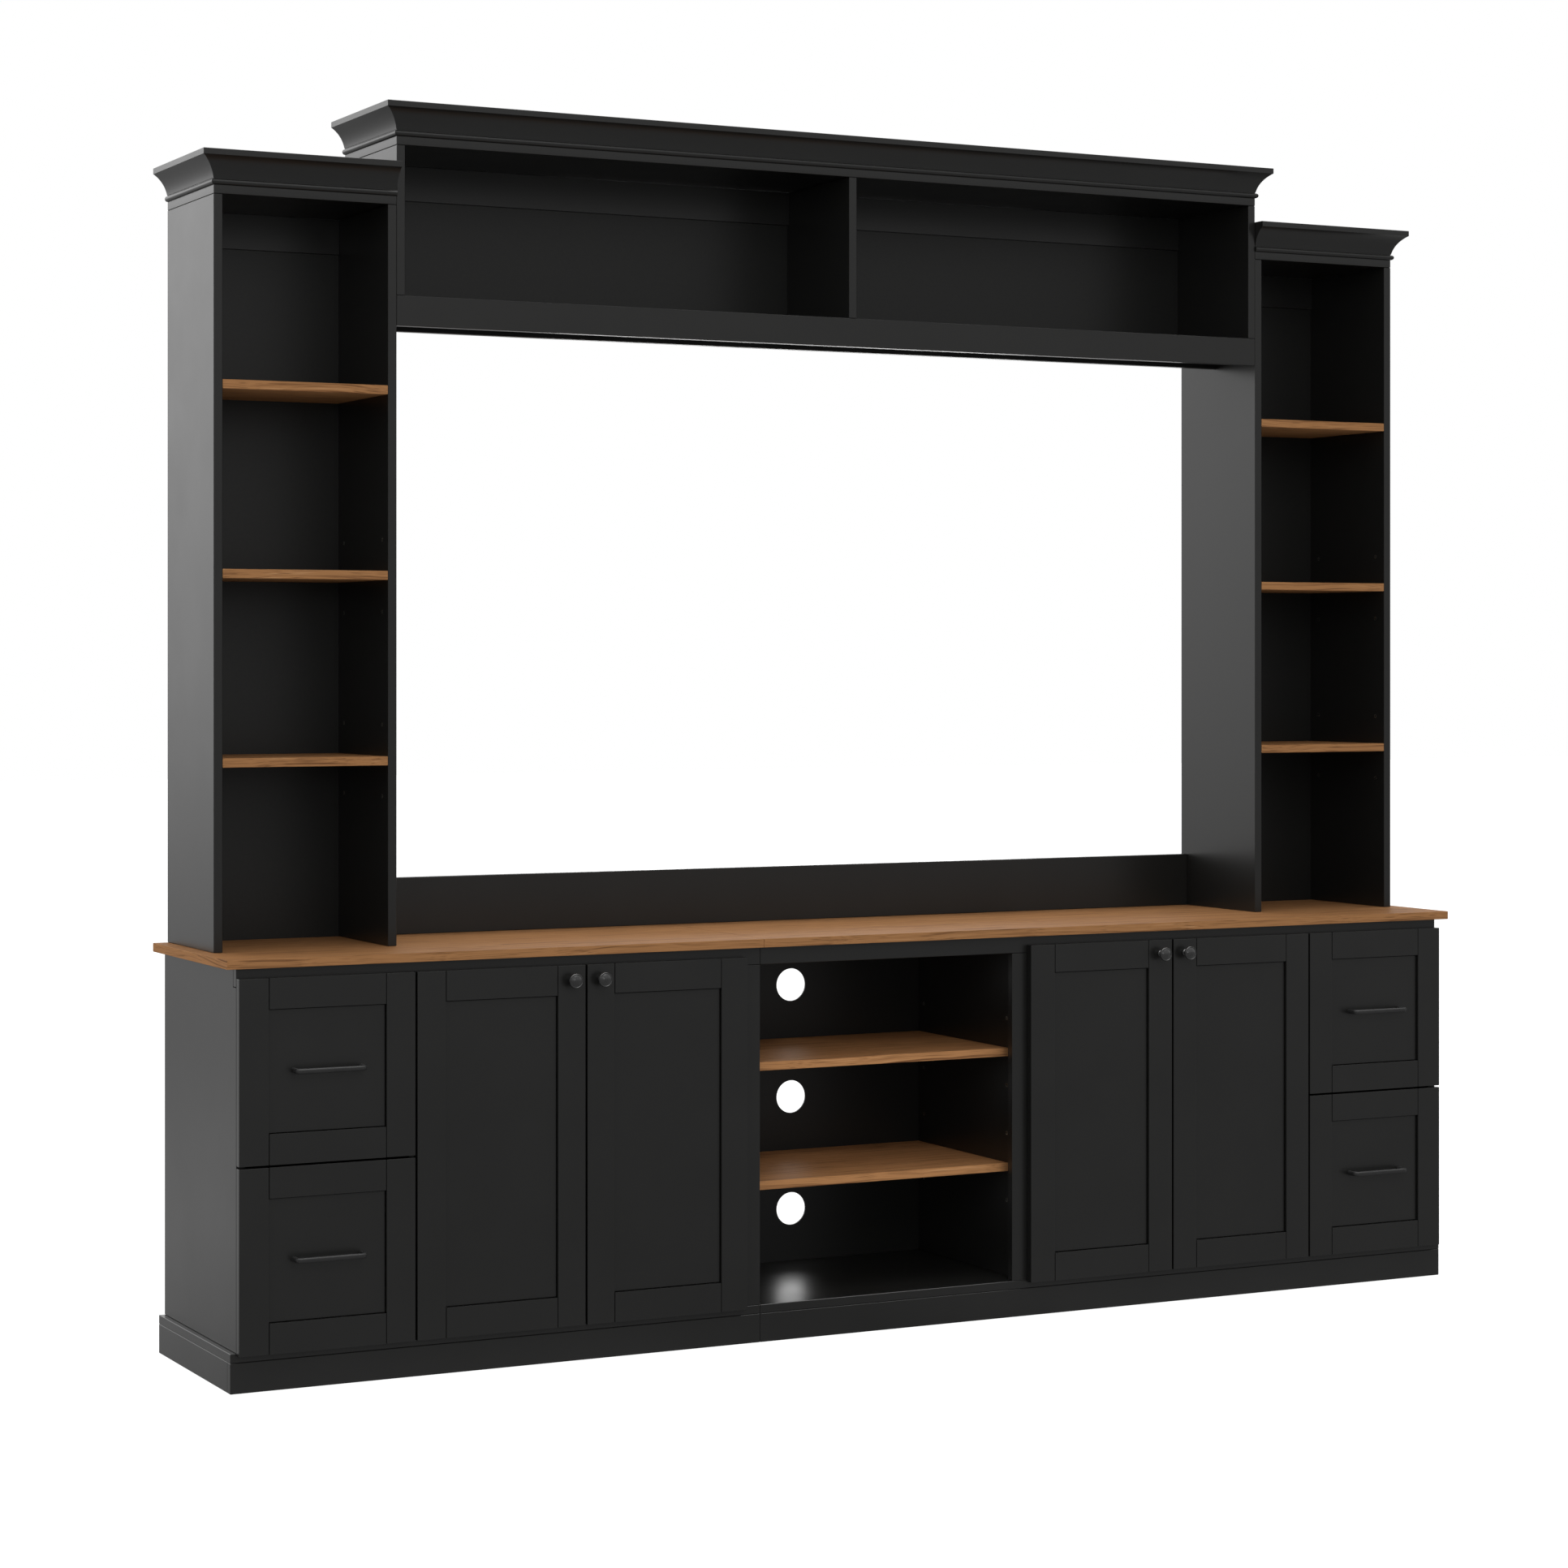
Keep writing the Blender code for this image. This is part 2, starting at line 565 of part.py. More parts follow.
def drawer_runner(side, face, outwards, level):
    """The half of a runner that is screwed to a drawer box, with its rear roller."""
    z = runner_base(level)
    top = z + RUNNER_SHEET + GAP + 2 * ROLLER_RADIUS + GAP + RUNNER_SHEET
    y = (FRONT_Y + RUNNER_FRONT_SETBACK, DRAWER_REAR_Y - RUNNER_FRONT_SETBACK)
    roller_x = face + outwards * (RUNNER_SHEET - SINK + ROLLER_WIDTH / 2)
    axle = (side * roller_x, y[1] - ROLLER_END, z + RUNNER_SHEET + GAP + ROLLER_RADIUS)
    return [angle_bar(side, face, outwards, y, top, top - SLIDE_WEB),
            rod(axle, 'X', ROLLER_RADIUS, ROLLER_WIDTH, ROLLER_SIDES)]


def drawer_box(side, inner, outer, level):
    """The boards of one drawer box: near side first, then what is joined to it."""
    z = (level + DRAWER_BOX_RAISE, level + DRAWER_BOX_RAISE + DRAWER_BOX_HEIGHT)
    y = (FRONT_Y - FRONT_STANDOFF + GAP, DRAWER_REAR_Y)
    between = (inner + DRAWER_SIDE - SINK, outer - DRAWER_SIDE + SINK)
    bottom = z[0] + DRAWER_BOTTOM_RAISE
    joined = [block(side, *between, (y[0], y[0] + DRAWER_SIDE), z),
              block(side, *between, (y[1] - DRAWER_SIDE, y[1]), z),
              block(side, outer - DRAWER_SIDE, outer, y, z),
              block(side, *between, (y[0] + DRAWER_SIDE - SINK, y[1] - DRAWER_SIDE + SINK),
                    (bottom, bottom + DRAWER_BOTTOM), ease=0)]
    joined += drawer_runner(side, inner, -1, level) + drawer_runner(side, outer, 1, level)
    return block(side, inner, inner + DRAWER_SIDE, y, z), joined


def drawers(paint, laminate, metal):
    """Two drawers, one above the other, at each end of the base."""
    for side, name in SIDES:
        inner = HALF - FRONT_WIDTH
        box_inner = DIVIDER_X + BOARD / 2 + RUNNER_SPACE
        box_outer = HALF - BOARD - RUNNER_SPACE
        for place, level in drawer_levels():
            title = name + "_" + place + "_drawer"
            middle = level + DRAWER_FRONT_HEIGHT / 2
            centre_x = side * (inner + HALF) / 2
            slide = pivot(title + "_slide", (centre_x, FRONT_Y, middle))
            body, recess = panelled_front(side, inner, HALF, (level, level + DRAWER_FRONT_HEIGHT))
            piece(title + "_front", paint, body, cuts=[recess], parent=slide)
            shell, joined = drawer_box(side, box_inner, box_outer, level)
            piece(title + "_box", laminate, shell, joined=joined, parent=slide)
            piece(title + "_pull", metal, pull_shape(centre_x, middle), parent=slide, smooth=True)


# Crown moulding

def crown_profile():
    """Outline of the moulding, as (outwards, upwards) from the top board's upper front edge."""
    points = [(-CROWN_BODY, 0), (0, 0)]
    for i in range(1, BEAD_STEPS):
        a = pi * i / BEAD_STEPS
        points.append((BEAD_RADIUS * sin(a), BEAD_RADIUS * (1 - cos(a))))
    foot = 2 * BEAD_RADIUS + QUIRK_HEIGHT
    points.append((0, 2 * BEAD_RADIUS))
    points.append((0, foot))
    run = CROWN_PROJECTION - QUIRK_DEPTH
    rise = CROWN_HEIGHT - FASCIA_HEIGHT - foot
    low, high = (radians(lean) for lean in COVE_LEAN)
    for i in range(COVE_STEPS + 1):
        a = low + (high - low) * i / COVE_STEPS
        out = (cos(low) - cos(a)) / (cos(low) - cos(high))
        up = (sin(a) - sin(low)) / (sin(high) - sin(low))
        points.append((QUIRK_DEPTH + run * out, foot + rise * up))
    points.append((CROWN_PROJECTION, CROWN_HEIGHT - EASE))
    points.append((CROWN_PROJECTION - EASE, CROWN_HEIGHT))
    points.append((-CROWN_BODY, CROWN_HEIGHT))
    return points


def crown_shape(stations, base):
    """The moulding along stations, each a place and the way it moves for one unit of projection."""
    rings = []
    for (x, y), (step_x, step_y) in stations:
        rings.append([(x + step_x * p, y + step_y * p, base + h) for p, h in crown_profile()])
    return loft(rings)


# Towers

def towers(paint, walnut):
    """Two open shelf towers that stand on the countertops."""
    z = (COUNTER_TOP + GAP, TOWER_TOP)
    shelf_z = [COUNTER_TOP + (TOWER_TOP - COUNTER_TOP) * i / (TOWER_SHELVES + 1)
               for i in range(1, TOWER_SHELVES + 1)]
    rows = (TOWER_Y + PIN_TOWER_FRONT, BACK_FACE_Y - PIN_REAR)
    heights = spare_heights(shelf_z[:-1]) + shelf_z[-1:]
    inner = TOWER_IN + BOARD
    outer = TOWER_OUT - BOARD
    for side, name in SIDES:
        title = name + "_tower_"
        piece(title + "outer_panel", paint, block(side, outer, TOWER_OUT, (TOWER_Y, BACK_Y), z),
              cuts=pin_holes(side, outer, 1, rows, heights) + [back_groove(side, outer, 1, *z)])
        piece(title + "inner_panel", paint, block(side, TOWER_IN, inner, (TOWER_Y, BACK_Y), z),
              cuts=pin_holes(side, inner, -1, rows, heights) + [back_groove(side, inner, -1, *z)])
        tuck = GROOVE_DEPTH - GAP
        piece(title + "back", paint,
              block(side, inner + GAP, outer - GAP, (BACK_Y - BOARD, BACK_Y),
                    (TOWER_TOP - HANG_RAIL_HEIGHT, TOWER_TOP)),
              joined=[block(side, inner - tuck, outer + tuck, (BACK_FACE_Y, BACK_FACE_Y + BACK_PANEL),
                            (z[0], TOWER_TOP - HANG_RAIL_HEIGHT + BOARD / 2), ease=0)])
        for i, height in enumerate(shelf_z):
            ends = (inner + GAP, outer - GAP)
            piece(title + "shelf_" + str(i + 1), walnut,
                  block(side, *ends, (TOWER_Y, BACK_FACE_Y - GAP),
                        (height - BOARD / 2, height + BOARD / 2)),
                  joined=shelf_pins(side, ends[0], -1, rows, height)
                  + shelf_pins(side, ends[1], 1, rows, height))
        board_top = TOWER_TOP + BOARD
        stations = (((side * TOWER_IN, TOWER_Y), (0, -1)), ((side * TOWER_OUT, TOWER_Y), (side, -1)),
                    ((side * TOWER_OUT, BACK_Y), (side, 0)))
        piece(title + "cornice", paint,
              block(side, TOWER_IN, TOWER_OUT, (TOWER_Y, BACK_Y), (TOWER_TOP + GAP, board_top)),
              joined=[crown_shape(stations, board_top - SINK)])


# Bridge

def bridge(paint):
    """The bridge cabinet between the towers, above the television bay."""
    end = TOWER_IN - GAP
    z = (BRIDGE_FLOOR_TOP + GAP, BRIDGE_TOP)
    board_z = (BRIDGE_FLOOR_TOP - BOARD, BRIDGE_FLOOR_TOP)
    stiffener_y = TOWER_Y + STIFFENER_SETBACK
    piece("bridge_floor", paint, block(RIGHT, -end, end, (TOWER_Y + BOARD + GAP, BACK_Y), board_z),
          joined=[block(RIGHT, -end, end, (stiffener_y, stiffener_y + BOARD),
                        (board_z[0] - STIFFENER_HEIGHT, board_z[0] + SINK))])
    piece("bridge_apron", paint,
          block(RIGHT, -end, end, (TOWER_Y, TOWER_Y + BOARD), (APRON_BOTTOM, BRIDGE_FLOOR_TOP)))
    for side, name in SIDES:
        piece("bridge_" + name + "_panel", paint,
              block(side, TOWER_IN - BOARD, end, (TOWER_Y, BACK_Y), z),
              cuts=[back_groove(side, TOWER_IN - BOARD, 1, *z)])
    rail_y = (BACK_Y - BOARD, BACK_Y)
    rail_z = (BRIDGE_TOP - HANG_RAIL_HEIGHT, BRIDGE_TOP)
    notch = block(RIGHT, -BOARD, BOARD, (rail_y[0] - GAP, rail_y[1]),
                  (rail_z[0] - GAP, rail_z[1] + OVERRUN), ease=0)
    piece("bridge_partition", paint, block(RIGHT, -BOARD / 2, BOARD / 2, (TOWER_Y, BACK_FACE_Y - GAP), z),
          cuts=[notch])
    inside = TOWER_IN - BOARD
    tuck = inside + GROOVE_DEPTH - GAP
    piece("bridge_back", paint, block(RIGHT, GAP - inside, inside - GAP, rail_y, rail_z),
          joined=[block(RIGHT, -tuck, tuck, (BACK_FACE_Y, BACK_FACE_Y + BACK_PANEL),
                        (z[0], rail_z[0] + BOARD / 2), ease=0)])
    board_top = BRIDGE_TOP + BOARD
    stations = (((-TOWER_IN, BACK_Y), (-1, 0)), ((-TOWER_IN, TOWER_Y), (-1, -1)),
                ((TOWER_IN, TOWER_Y), (1, -1)), ((TOWER_IN, BACK_Y), (1, 0)))
    piece("bridge_cornice", paint,
          block(RIGHT, -TOWER_IN, TOWER_IN, (TOWER_Y, BACK_Y), (BRIDGE_TOP + GAP, board_top)),
          joined=[crown_shape(stations, board_top - SINK)])
    rear = BACK_Y - BACK_INSET
    piece("backsplash", paint,
          block(RIGHT, -end, end, (rear - BOARD, rear),
                (COUNTER_TOP + GAP, COUNTER_TOP + BACKSPLASH_HEIGHT)))


def main():
    for obj in list(bpy.data.objects):
        bpy.data.objects.remove(obj)
    paint = material("charcoal_laminate", (0.023, 0.023, 0.022), 0.45)
    walnut = material("walnut_laminate", (0.26, 0.12, 0.055), 0.45)
    metal = material("black_metal", (0.02, 0.02, 0.02), 0.3, 1.0)
    laminate = material("drawer_laminate", (0.05, 0.05, 0.05), 0.6)
    base_frame(paint, walnut)
    base_walls(paint, walnut)
    doors(paint, metal)
    drawers(paint, laminate, metal)
    towers(paint, walnut)
    bridge(paint)


main()
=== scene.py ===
"""Wall entertainment centre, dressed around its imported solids.

Charcoal melamine boards, walnut laminate tops and shelves, shaker doors and drawer fronts built from
stiles, rails and panels, cabinet fittings, mitred crown mouldings and a white studio.
Metres, +Z up, front towards -Y.
"""
import json
from math import cos, copysign, pi, radians, sin

import bmesh
import bpy
from mathutils import Matrix, Vector

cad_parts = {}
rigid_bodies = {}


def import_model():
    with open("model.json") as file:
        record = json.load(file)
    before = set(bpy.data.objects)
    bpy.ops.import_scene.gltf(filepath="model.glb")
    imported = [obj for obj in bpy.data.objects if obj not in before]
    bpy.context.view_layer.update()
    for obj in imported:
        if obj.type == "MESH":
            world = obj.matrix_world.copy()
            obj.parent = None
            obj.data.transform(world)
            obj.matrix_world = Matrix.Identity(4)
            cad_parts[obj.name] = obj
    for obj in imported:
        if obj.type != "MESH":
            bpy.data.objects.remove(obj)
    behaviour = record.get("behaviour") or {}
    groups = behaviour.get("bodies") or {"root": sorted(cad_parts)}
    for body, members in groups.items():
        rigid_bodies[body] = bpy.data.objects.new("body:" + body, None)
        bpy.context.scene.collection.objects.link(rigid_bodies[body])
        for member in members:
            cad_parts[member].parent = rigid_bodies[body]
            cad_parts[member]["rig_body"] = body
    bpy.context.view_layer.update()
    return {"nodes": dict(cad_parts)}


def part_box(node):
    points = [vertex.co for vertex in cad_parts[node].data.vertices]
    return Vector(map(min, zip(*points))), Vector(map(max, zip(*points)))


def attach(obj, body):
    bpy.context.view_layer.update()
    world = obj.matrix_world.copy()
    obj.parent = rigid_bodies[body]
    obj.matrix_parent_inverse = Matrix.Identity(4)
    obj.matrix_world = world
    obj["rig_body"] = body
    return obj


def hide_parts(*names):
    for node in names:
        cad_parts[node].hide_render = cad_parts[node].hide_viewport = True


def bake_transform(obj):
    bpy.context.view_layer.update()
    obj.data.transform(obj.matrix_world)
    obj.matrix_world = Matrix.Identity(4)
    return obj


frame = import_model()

bl_info = {
    "name": "Entertainment Centre",
    "version": (1, 0, 0),
    "blender": (4, 5, 0),
    "location": "3D View > Sidebar > Centre",
    "description": "Dresses a wall entertainment centre and its studio",
    "category": "Object",
}

MM = 0.001
LEFT = -1
RIGHT = 1
SIDES = ((LEFT, "left"), (RIGHT, "right"))

# Boards
BOARD = 15.9 * MM
BACK_THICKNESS = 3.2 * MM
SLACK = 0.3 * MM                        # between two pieces that touch
OVERRUN = 4 * MM                        # how far a cut runs out into the air
SHARP_ANGLE = 35                        # degrees, from which an edge looks sharp

# Places read from the frame
FACE_Y, REAR_Y = (corner.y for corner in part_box("left_lower_drawer_front"))
CARCASS_Y, BACK_Y = (corner.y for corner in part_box("left_floor"))
BACK_FACE_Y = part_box("left_base_back")[0].y
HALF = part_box("right_end_panel")[1].x
UPRIGHT_Z = tuple(corner.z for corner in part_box("left_end_panel"))
RAIL_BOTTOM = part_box("left_top_rail")[0].z
DOOR_Z = tuple(corner.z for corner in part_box("left_outer_door"))
TOWER_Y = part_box("left_tower_outer_panel")[0].y
DIVIDER_X = (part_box("right_lower_drawer_front")[0].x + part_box("right_outer_door")[1].x) / 2
WALL_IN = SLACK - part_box("right_base_back")[0].x        # from the middle to a bay wall's face in the bay
WALL_OUT = WALL_IN + BOARD

# Thin backs and the hanging rails above them
BACK_ARRIS = 0.3 * MM
BACK_FOOT_GAP = 0.05 * MM               # between a back and the board that it stands on
HANGING_RAIL_HEIGHT = 63.5 * MM
CABLE_HOLE_SHARES = (0.1562, 0.4922, 0.8283)        # of the way from the floor board to the countertop
CABLE_HOLE_RADIUS = 31.5 * MM

# Grooves, shelf pin holes and their sleeves
GROOVE_DEPTH = 5 * MM
PIN_HOLE_RADIUS = 2.8 * MM
PIN_HOLE_DEPTH = 8.3 * MM
PIN_STEP = 63.5 * MM
TOWER_PIN_FRONT = 30.3 * MM
TOWER_PIN_REAR = 29.3 * MM
BAY_PIN_FRONT = 6 * MM
BAY_PIN_REAR = 21 * MM
SLEEVE_FLANGE = 3.7 * MM
SLEEVE_BORE = 2.3 * MM
SLEEVE_DEPTH = 6 * MM
SLEEVE_RIM = 0.25 * MM
BAY_SHELVES = ("lower_bay_shelf", "upper_bay_shelf")

# Framed fronts
FRAME_GAP = 0.9 * MM                    # between a stile and a rail, and round the panel
NOTCH_GAP = 0.8 * MM                    # between the top rail's end and the panel that it laps over

# Concealed hinges
HINGE_END = 95 * MM
CUP_CENTRE = 16.3 * MM                  # from the panel that holds the arm
CUP_RADIUS = 13 * MM
CUP_DEPTH = 10.5 * MM
CUP_WALL = 0.7 * MM
CUP_FLOOR_SHARES = (0.2, 0.85)          # of its radius, for the rings of its floor
CUP_SIDES = 32
FLANGE_SIZE = (31 * MM, 52 * MM)
FLANGE_THICKNESS = 1 * MM
FLANGE_SQUARENESS = 5
PLATE_SETBACK = 28 * MM
PLATE_SIZE = (50 * MM, 36 * MM)
PLATE_THICKNESS = 2 * MM
ARM_PROUD = 11.5 * MM
ARM_WIDTH = 12 * MM
ARM_FRONT = 8 * MM
ARM_EASE = 1.2 * MM
ARM_FRONT_Y = CARCASS_Y + FLANGE_THICKNESS + SLACK
ARM_SCREW_SHARES = (0.45, 0.78)         # of the way along the arm
LINK_CENTRE = 12.8 * MM                 # from the panel that holds the arm
LINK_SIZE = (3.6 * MM, 8 * MM)          # across and up
LINK_EASE = 0.8 * MM
LINK_LAP = 3 * MM                       # how far it reaches into the arm, and stays above the cup's floor
LINK_STEPS = 16
SCREW_RADIUS = 3.4 * MM
SCREW_HEIGHT = 1.1 * MM
SCREW_STEPS = 4

# Drawer boxes and roller runners
BOX_RAISE = 26 * MM
BOX_HEIGHT = 190 * MM
BOX_SIDE = 12 * MM
BOX_BOTTOM = 3.2 * MM
BOX_BOTTOM_RAISE = 10 * MM
RUNNER_SPACE = 12.7 * MM
RUNNER_SHEET = 1.5 * MM
RUNNER_LEDGE = 10.5 * MM
RUNNER_HEIGHT = 30 * MM
RUNNER_SETBACK = 4 * MM
RUNNER_BEND_STEPS = 4
SLIDE_WEB = 14.5 * MM
ROLLER_RADIUS = 7 * MM
ROLLER_WIDTH = 7.5 * MM
ROLLER_END = 12 * MM
ROLLER_GROOVE = 0.8 * MM
ROLLER_BORE = 2.1 * MM
AXLE_RADIUS = 1.96 * MM
AXLE_RISE = RUNNER_SHEET + SLACK + ROLLER_RADIUS        # above the runner's underside
RUNNER_SCREW_SHARES = (0.16, 0.5, 0.84)                 # of the way along the runner
DRAWER_REAR_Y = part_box("left_lower_drawer_box")[1].y

# Turned knobs, as shares of their radius and height, from the foot to the crown
KNOB_CAGE_SHARES = (
    (0.50, 0.00), (0.52, 0.02), (0.51, 0.09), (0.38, 0.15), (0.33, 0.28), (0.34, 0.48), (0.58, 0.61),
    (0.90, 0.65), (1.00, 0.72), (1.00, 0.78), (0.96, 0.86), (0.89, 0.905), (0.84, 0.885), (0.80, 0.86),
    (0.76, 0.87), (0.56, 0.94), (0.30, 0.985), (0.10, 1.0),
)
KNOB_CAGE_SIDES = 24

# Pulls bent from square bar
PULL_BAR_HEIGHT = 9 * MM
PULL_BAR_DEPTH = 8 * MM
PULL_BEND_RADIUS = 7 * MM
PULL_EDGE_RADIUS = 3.3 * MM
PULL_BEND_STEPS = 10
PULL_CORNER_STEPS = 5

# Crown moulding, measured outwards and upwards from the top board's upper edge
CROWN_PROJECTION = 26.4 * MM
CROWN_HEIGHT = 58.6 * MM
CROWN_BODY = 12 * MM
BEAD_RADIUS = 5.1 * MM
QUIRK_DEPTH = 0.8 * MM                  # of the narrow groove between the bead and the cove
QUIRK_HEIGHT = 1.2 * MM
COVE_LEAN = (12, 60)                    # degrees from upright, at the cove's foot and at its top
FASCIA_HEIGHT = 10.5 * MM
BEAD_STEPS = 16
COVE_STEPS = 28
ARRIS_STEPS = 3


def linear(hex_colour):
    """An sRGB hex colour as linear red, green and blue."""
    channels = [int(hex_colour[i:i + 2], 16) / 255 for i in (1, 3, 5)]
    return tuple(c / 12.92 if c <= 0.04045 else ((c + 0.055) / 1.055) ** 2.4 for c in channels)


def colour_setting(name, description, hex_colour):
    """A colour that a user can change."""
    return bpy.props.FloatVectorProperty(name=name, description=description, subtype='COLOR',
                                         default=linear(hex_colour), min=0, max=1)


def length_setting(name, description, value, low, high):
    """A length that a user can change, given here in millimetres."""
    return bpy.props.FloatProperty(name=name, description=description, unit='LENGTH', subtype='DISTANCE',
                                   default=value * MM, min=low * MM, max=high * MM)


def power_setting(name, description, value):
    """A lamp's power that a user can change."""
    return bpy.props.FloatProperty(name=name, description=description, unit='POWER',
                                   default=value, min=0, max=2000)


class FinishSettings(bpy.types.PropertyGroup):
    """Colours and gloss of the boards and fittings."""
    board_colour: colour_setting("Board", "Charcoal print of the melamine boards", "#191918")
    board_roughness: bpy.props.FloatProperty(
        name="Board roughness", description="Satin press plate of the melamine", subtype='FACTOR',
        default=0.3, min=0, max=1)
    walnut_light: colour_setting("Walnut light", "Lightest streaks of the walnut print", "#B98F67")
    walnut_middle: colour_setting("Walnut middle", "Ground of the walnut print", "#9E724B")
    walnut_dark: colour_setting("Walnut dark", "Darkest streaks of the walnut print", "#6A482F")
    metal_colour: colour_setting("Knobs and pulls", "Black lacquer on the zinc castings", "#1E1E1E")
    steel_colour: colour_setting("Fittings", "Bright zinc plating on hinges and runners", "#B9B9B4")
    drawer_colour: colour_setting("Drawer boxes", "Paper foil on the drawer boxes", "#3A3A39")


class FrontSettings(bpy.types.PropertyGroup):
    """Sizes of the shaker doors and drawer fronts."""
    frame_width: length_setting("Frame width", "Width of stiles and rails", 52.8, 20, 90)
    recess: length_setting("Recess", "How deep the panel lies behind its frame", 6, 1, 10)
    arris: length_setting("Arris", "Rounding of the outer edges", 1.2, 0.1, 2)
    joint: length_setting("Joint", "Rounding beside a joint of stile and rail", 0.6, 0.1, 2)


class StageSettings(bpy.types.PropertyGroup):
    """Studio levels."""
    room_level: bpy.props.FloatProperty(
        name="Room", description="Level of the even light from all round", default=0.9, min=0, max=2)
    glow: bpy.props.FloatProperty(
        name="Glow", description="How much brighter gloss shows the backdrop behind, on the left",
        default=1.8, min=1, max=4)
    key_power: power_setting("Key", "Power of the soft lamp in front", 76)
    top_power: power_setting("Top", "Power of the soft lamp above the counter's front", 10)
    spark_power: power_setting("Sparks", "Power of the lamps that only gloss shows", 9)
    rear_power: power_setting("Rear", "Power of the lamp behind, which shines through the cable holes", 21)


# Materials

def connect(socket, value):
    """Give an input a value, another node's output, or a node whose first output is meant."""
    if isinstance(value, bpy.types.Node):
        value = value.outputs[0]
    if isinstance(value, bpy.types.NodeSocket):
        socket.id_data.links.new(value, socket)
    else:
        socket.default_value = value


def wire(node, **values):
    """Set a node's attributes and inputs by name, with _ for a space."""
    for key, value in values.items():
        if hasattr(node, key):
            setattr(node, key, value)
        else:
            words = key.replace("_", " ")
            connect(next(s for s in node.inputs if s.identifier == key or s.name == words), value)


def add(tree, kind, *inputs, stops=(), **values):
    """A node with its first inputs in order, its other values by name, and a ramp's stops."""
    node = tree.nodes.new("ShaderNode" + kind)
    wire(node, **values)
    for socket, value in zip(node.inputs, inputs):
        connect(socket, value)
    if stops:
        elements = node.color_ramp.elements
        while len(elements) < len(stops):
            elements.new(1.0)
        for element, (place, colour) in zip(elements, stops):
            element.position = place
            element.color = (*colour[:3], 1.0)
    return node


def new_material(name):
    """An empty node material, its tree and its shader."""
    material = bpy.data.materials.new(name)
    material.use_nodes = True
    tree = material.node_tree
    return material, tree, tree.nodes["Principled BSDF"]


def shade(colour, factor):
    """The colour, lighter or darker."""
    return tuple(min(1.0, channel * factor) for channel in colour)


def tones(colour, low, high):
    """Stops of a ramp from a darker to a lighter tone of one colour."""
    return ((0.3, shade(colour, low)), (0.7, shade(colour, high)))


# Each of the next functions fills a material's tree. spot is the place on the object.

def melamine(tree, shader, spot, colour, roughness, grit=0.9, emboss=0.05):
    """Melamine-faced particleboard, pressed against a satin plate.

    The eye gets one even colour with a faint cloudiness, a soft sheen that grows at a glancing angle, and
    a fine pearl in the sheen. The real pearl is near 0.3 mm, drawn coarser so that it shows.
    """
    cloud = add(tree, "TexNoise", spot, Scale=1 / (160 * MM), Detail=3.0, Roughness=0.6)
    pearl = add(tree, "TexNoise", spot, Scale=1 / (grit * MM))
    tint = add(tree, "ValToRGB", cloud, stops=tones(colour, 0.94, 1.06))
    gloss = add(tree, "MapRange", cloud, To_Min=roughness - 0.04, To_Max=roughness + 0.05)
    bump = add(tree, "Bump", Height=pearl, Strength=emboss, Distance=0.1 * MM)
    wire(shader, Base_Color=tint, Roughness=gloss, Normal=bump)


def hardboard(tree, shader, spot, colour):
    """Thin hardboard: lacquered face, and a rear that keeps the print of the wire screen it was pressed on.

    The eye gets a smooth, dull sheet in front and a mesh of small squares behind.
    """
    split = add(tree, "SeparateXYZ", spot).outputs
    pitch = 2.2 * MM
    across = add(tree, "Math", split["X"], pitch / 2, operation='PINGPONG')
    upwards = add(tree, "Math", split["Z"], pitch / 2, operation='PINGPONG')
    mesh = add(tree, "Math", across, upwards, operation='MULTIPLY')
    normal = add(tree, "SeparateXYZ", add(tree, "NewGeometry").outputs["True Normal"]).outputs
    is_rear = add(tree, "Math", normal["Y"], 0.5, operation='GREATER_THAN')
    rear_mesh = add(tree, "Math", mesh, is_rear, operation='MULTIPLY')
    height = add(tree, "MapRange", rear_mesh, From_Max=pitch * pitch / 4)
    fibre = add(tree, "TexNoise", spot, Scale=1 / (6 * MM), Detail=6.0, Roughness=0.7)
    tint = add(tree, "ValToRGB", fibre, stops=tones(colour, 0.85, 1.15))
    bump = add(tree, "Bump", Height=height, Strength=0.25, Distance=0.2 * MM)
    wire(shader, Base_Color=tint, Normal=bump, Roughness=0.35, Specular_IOR_Level=0.38)


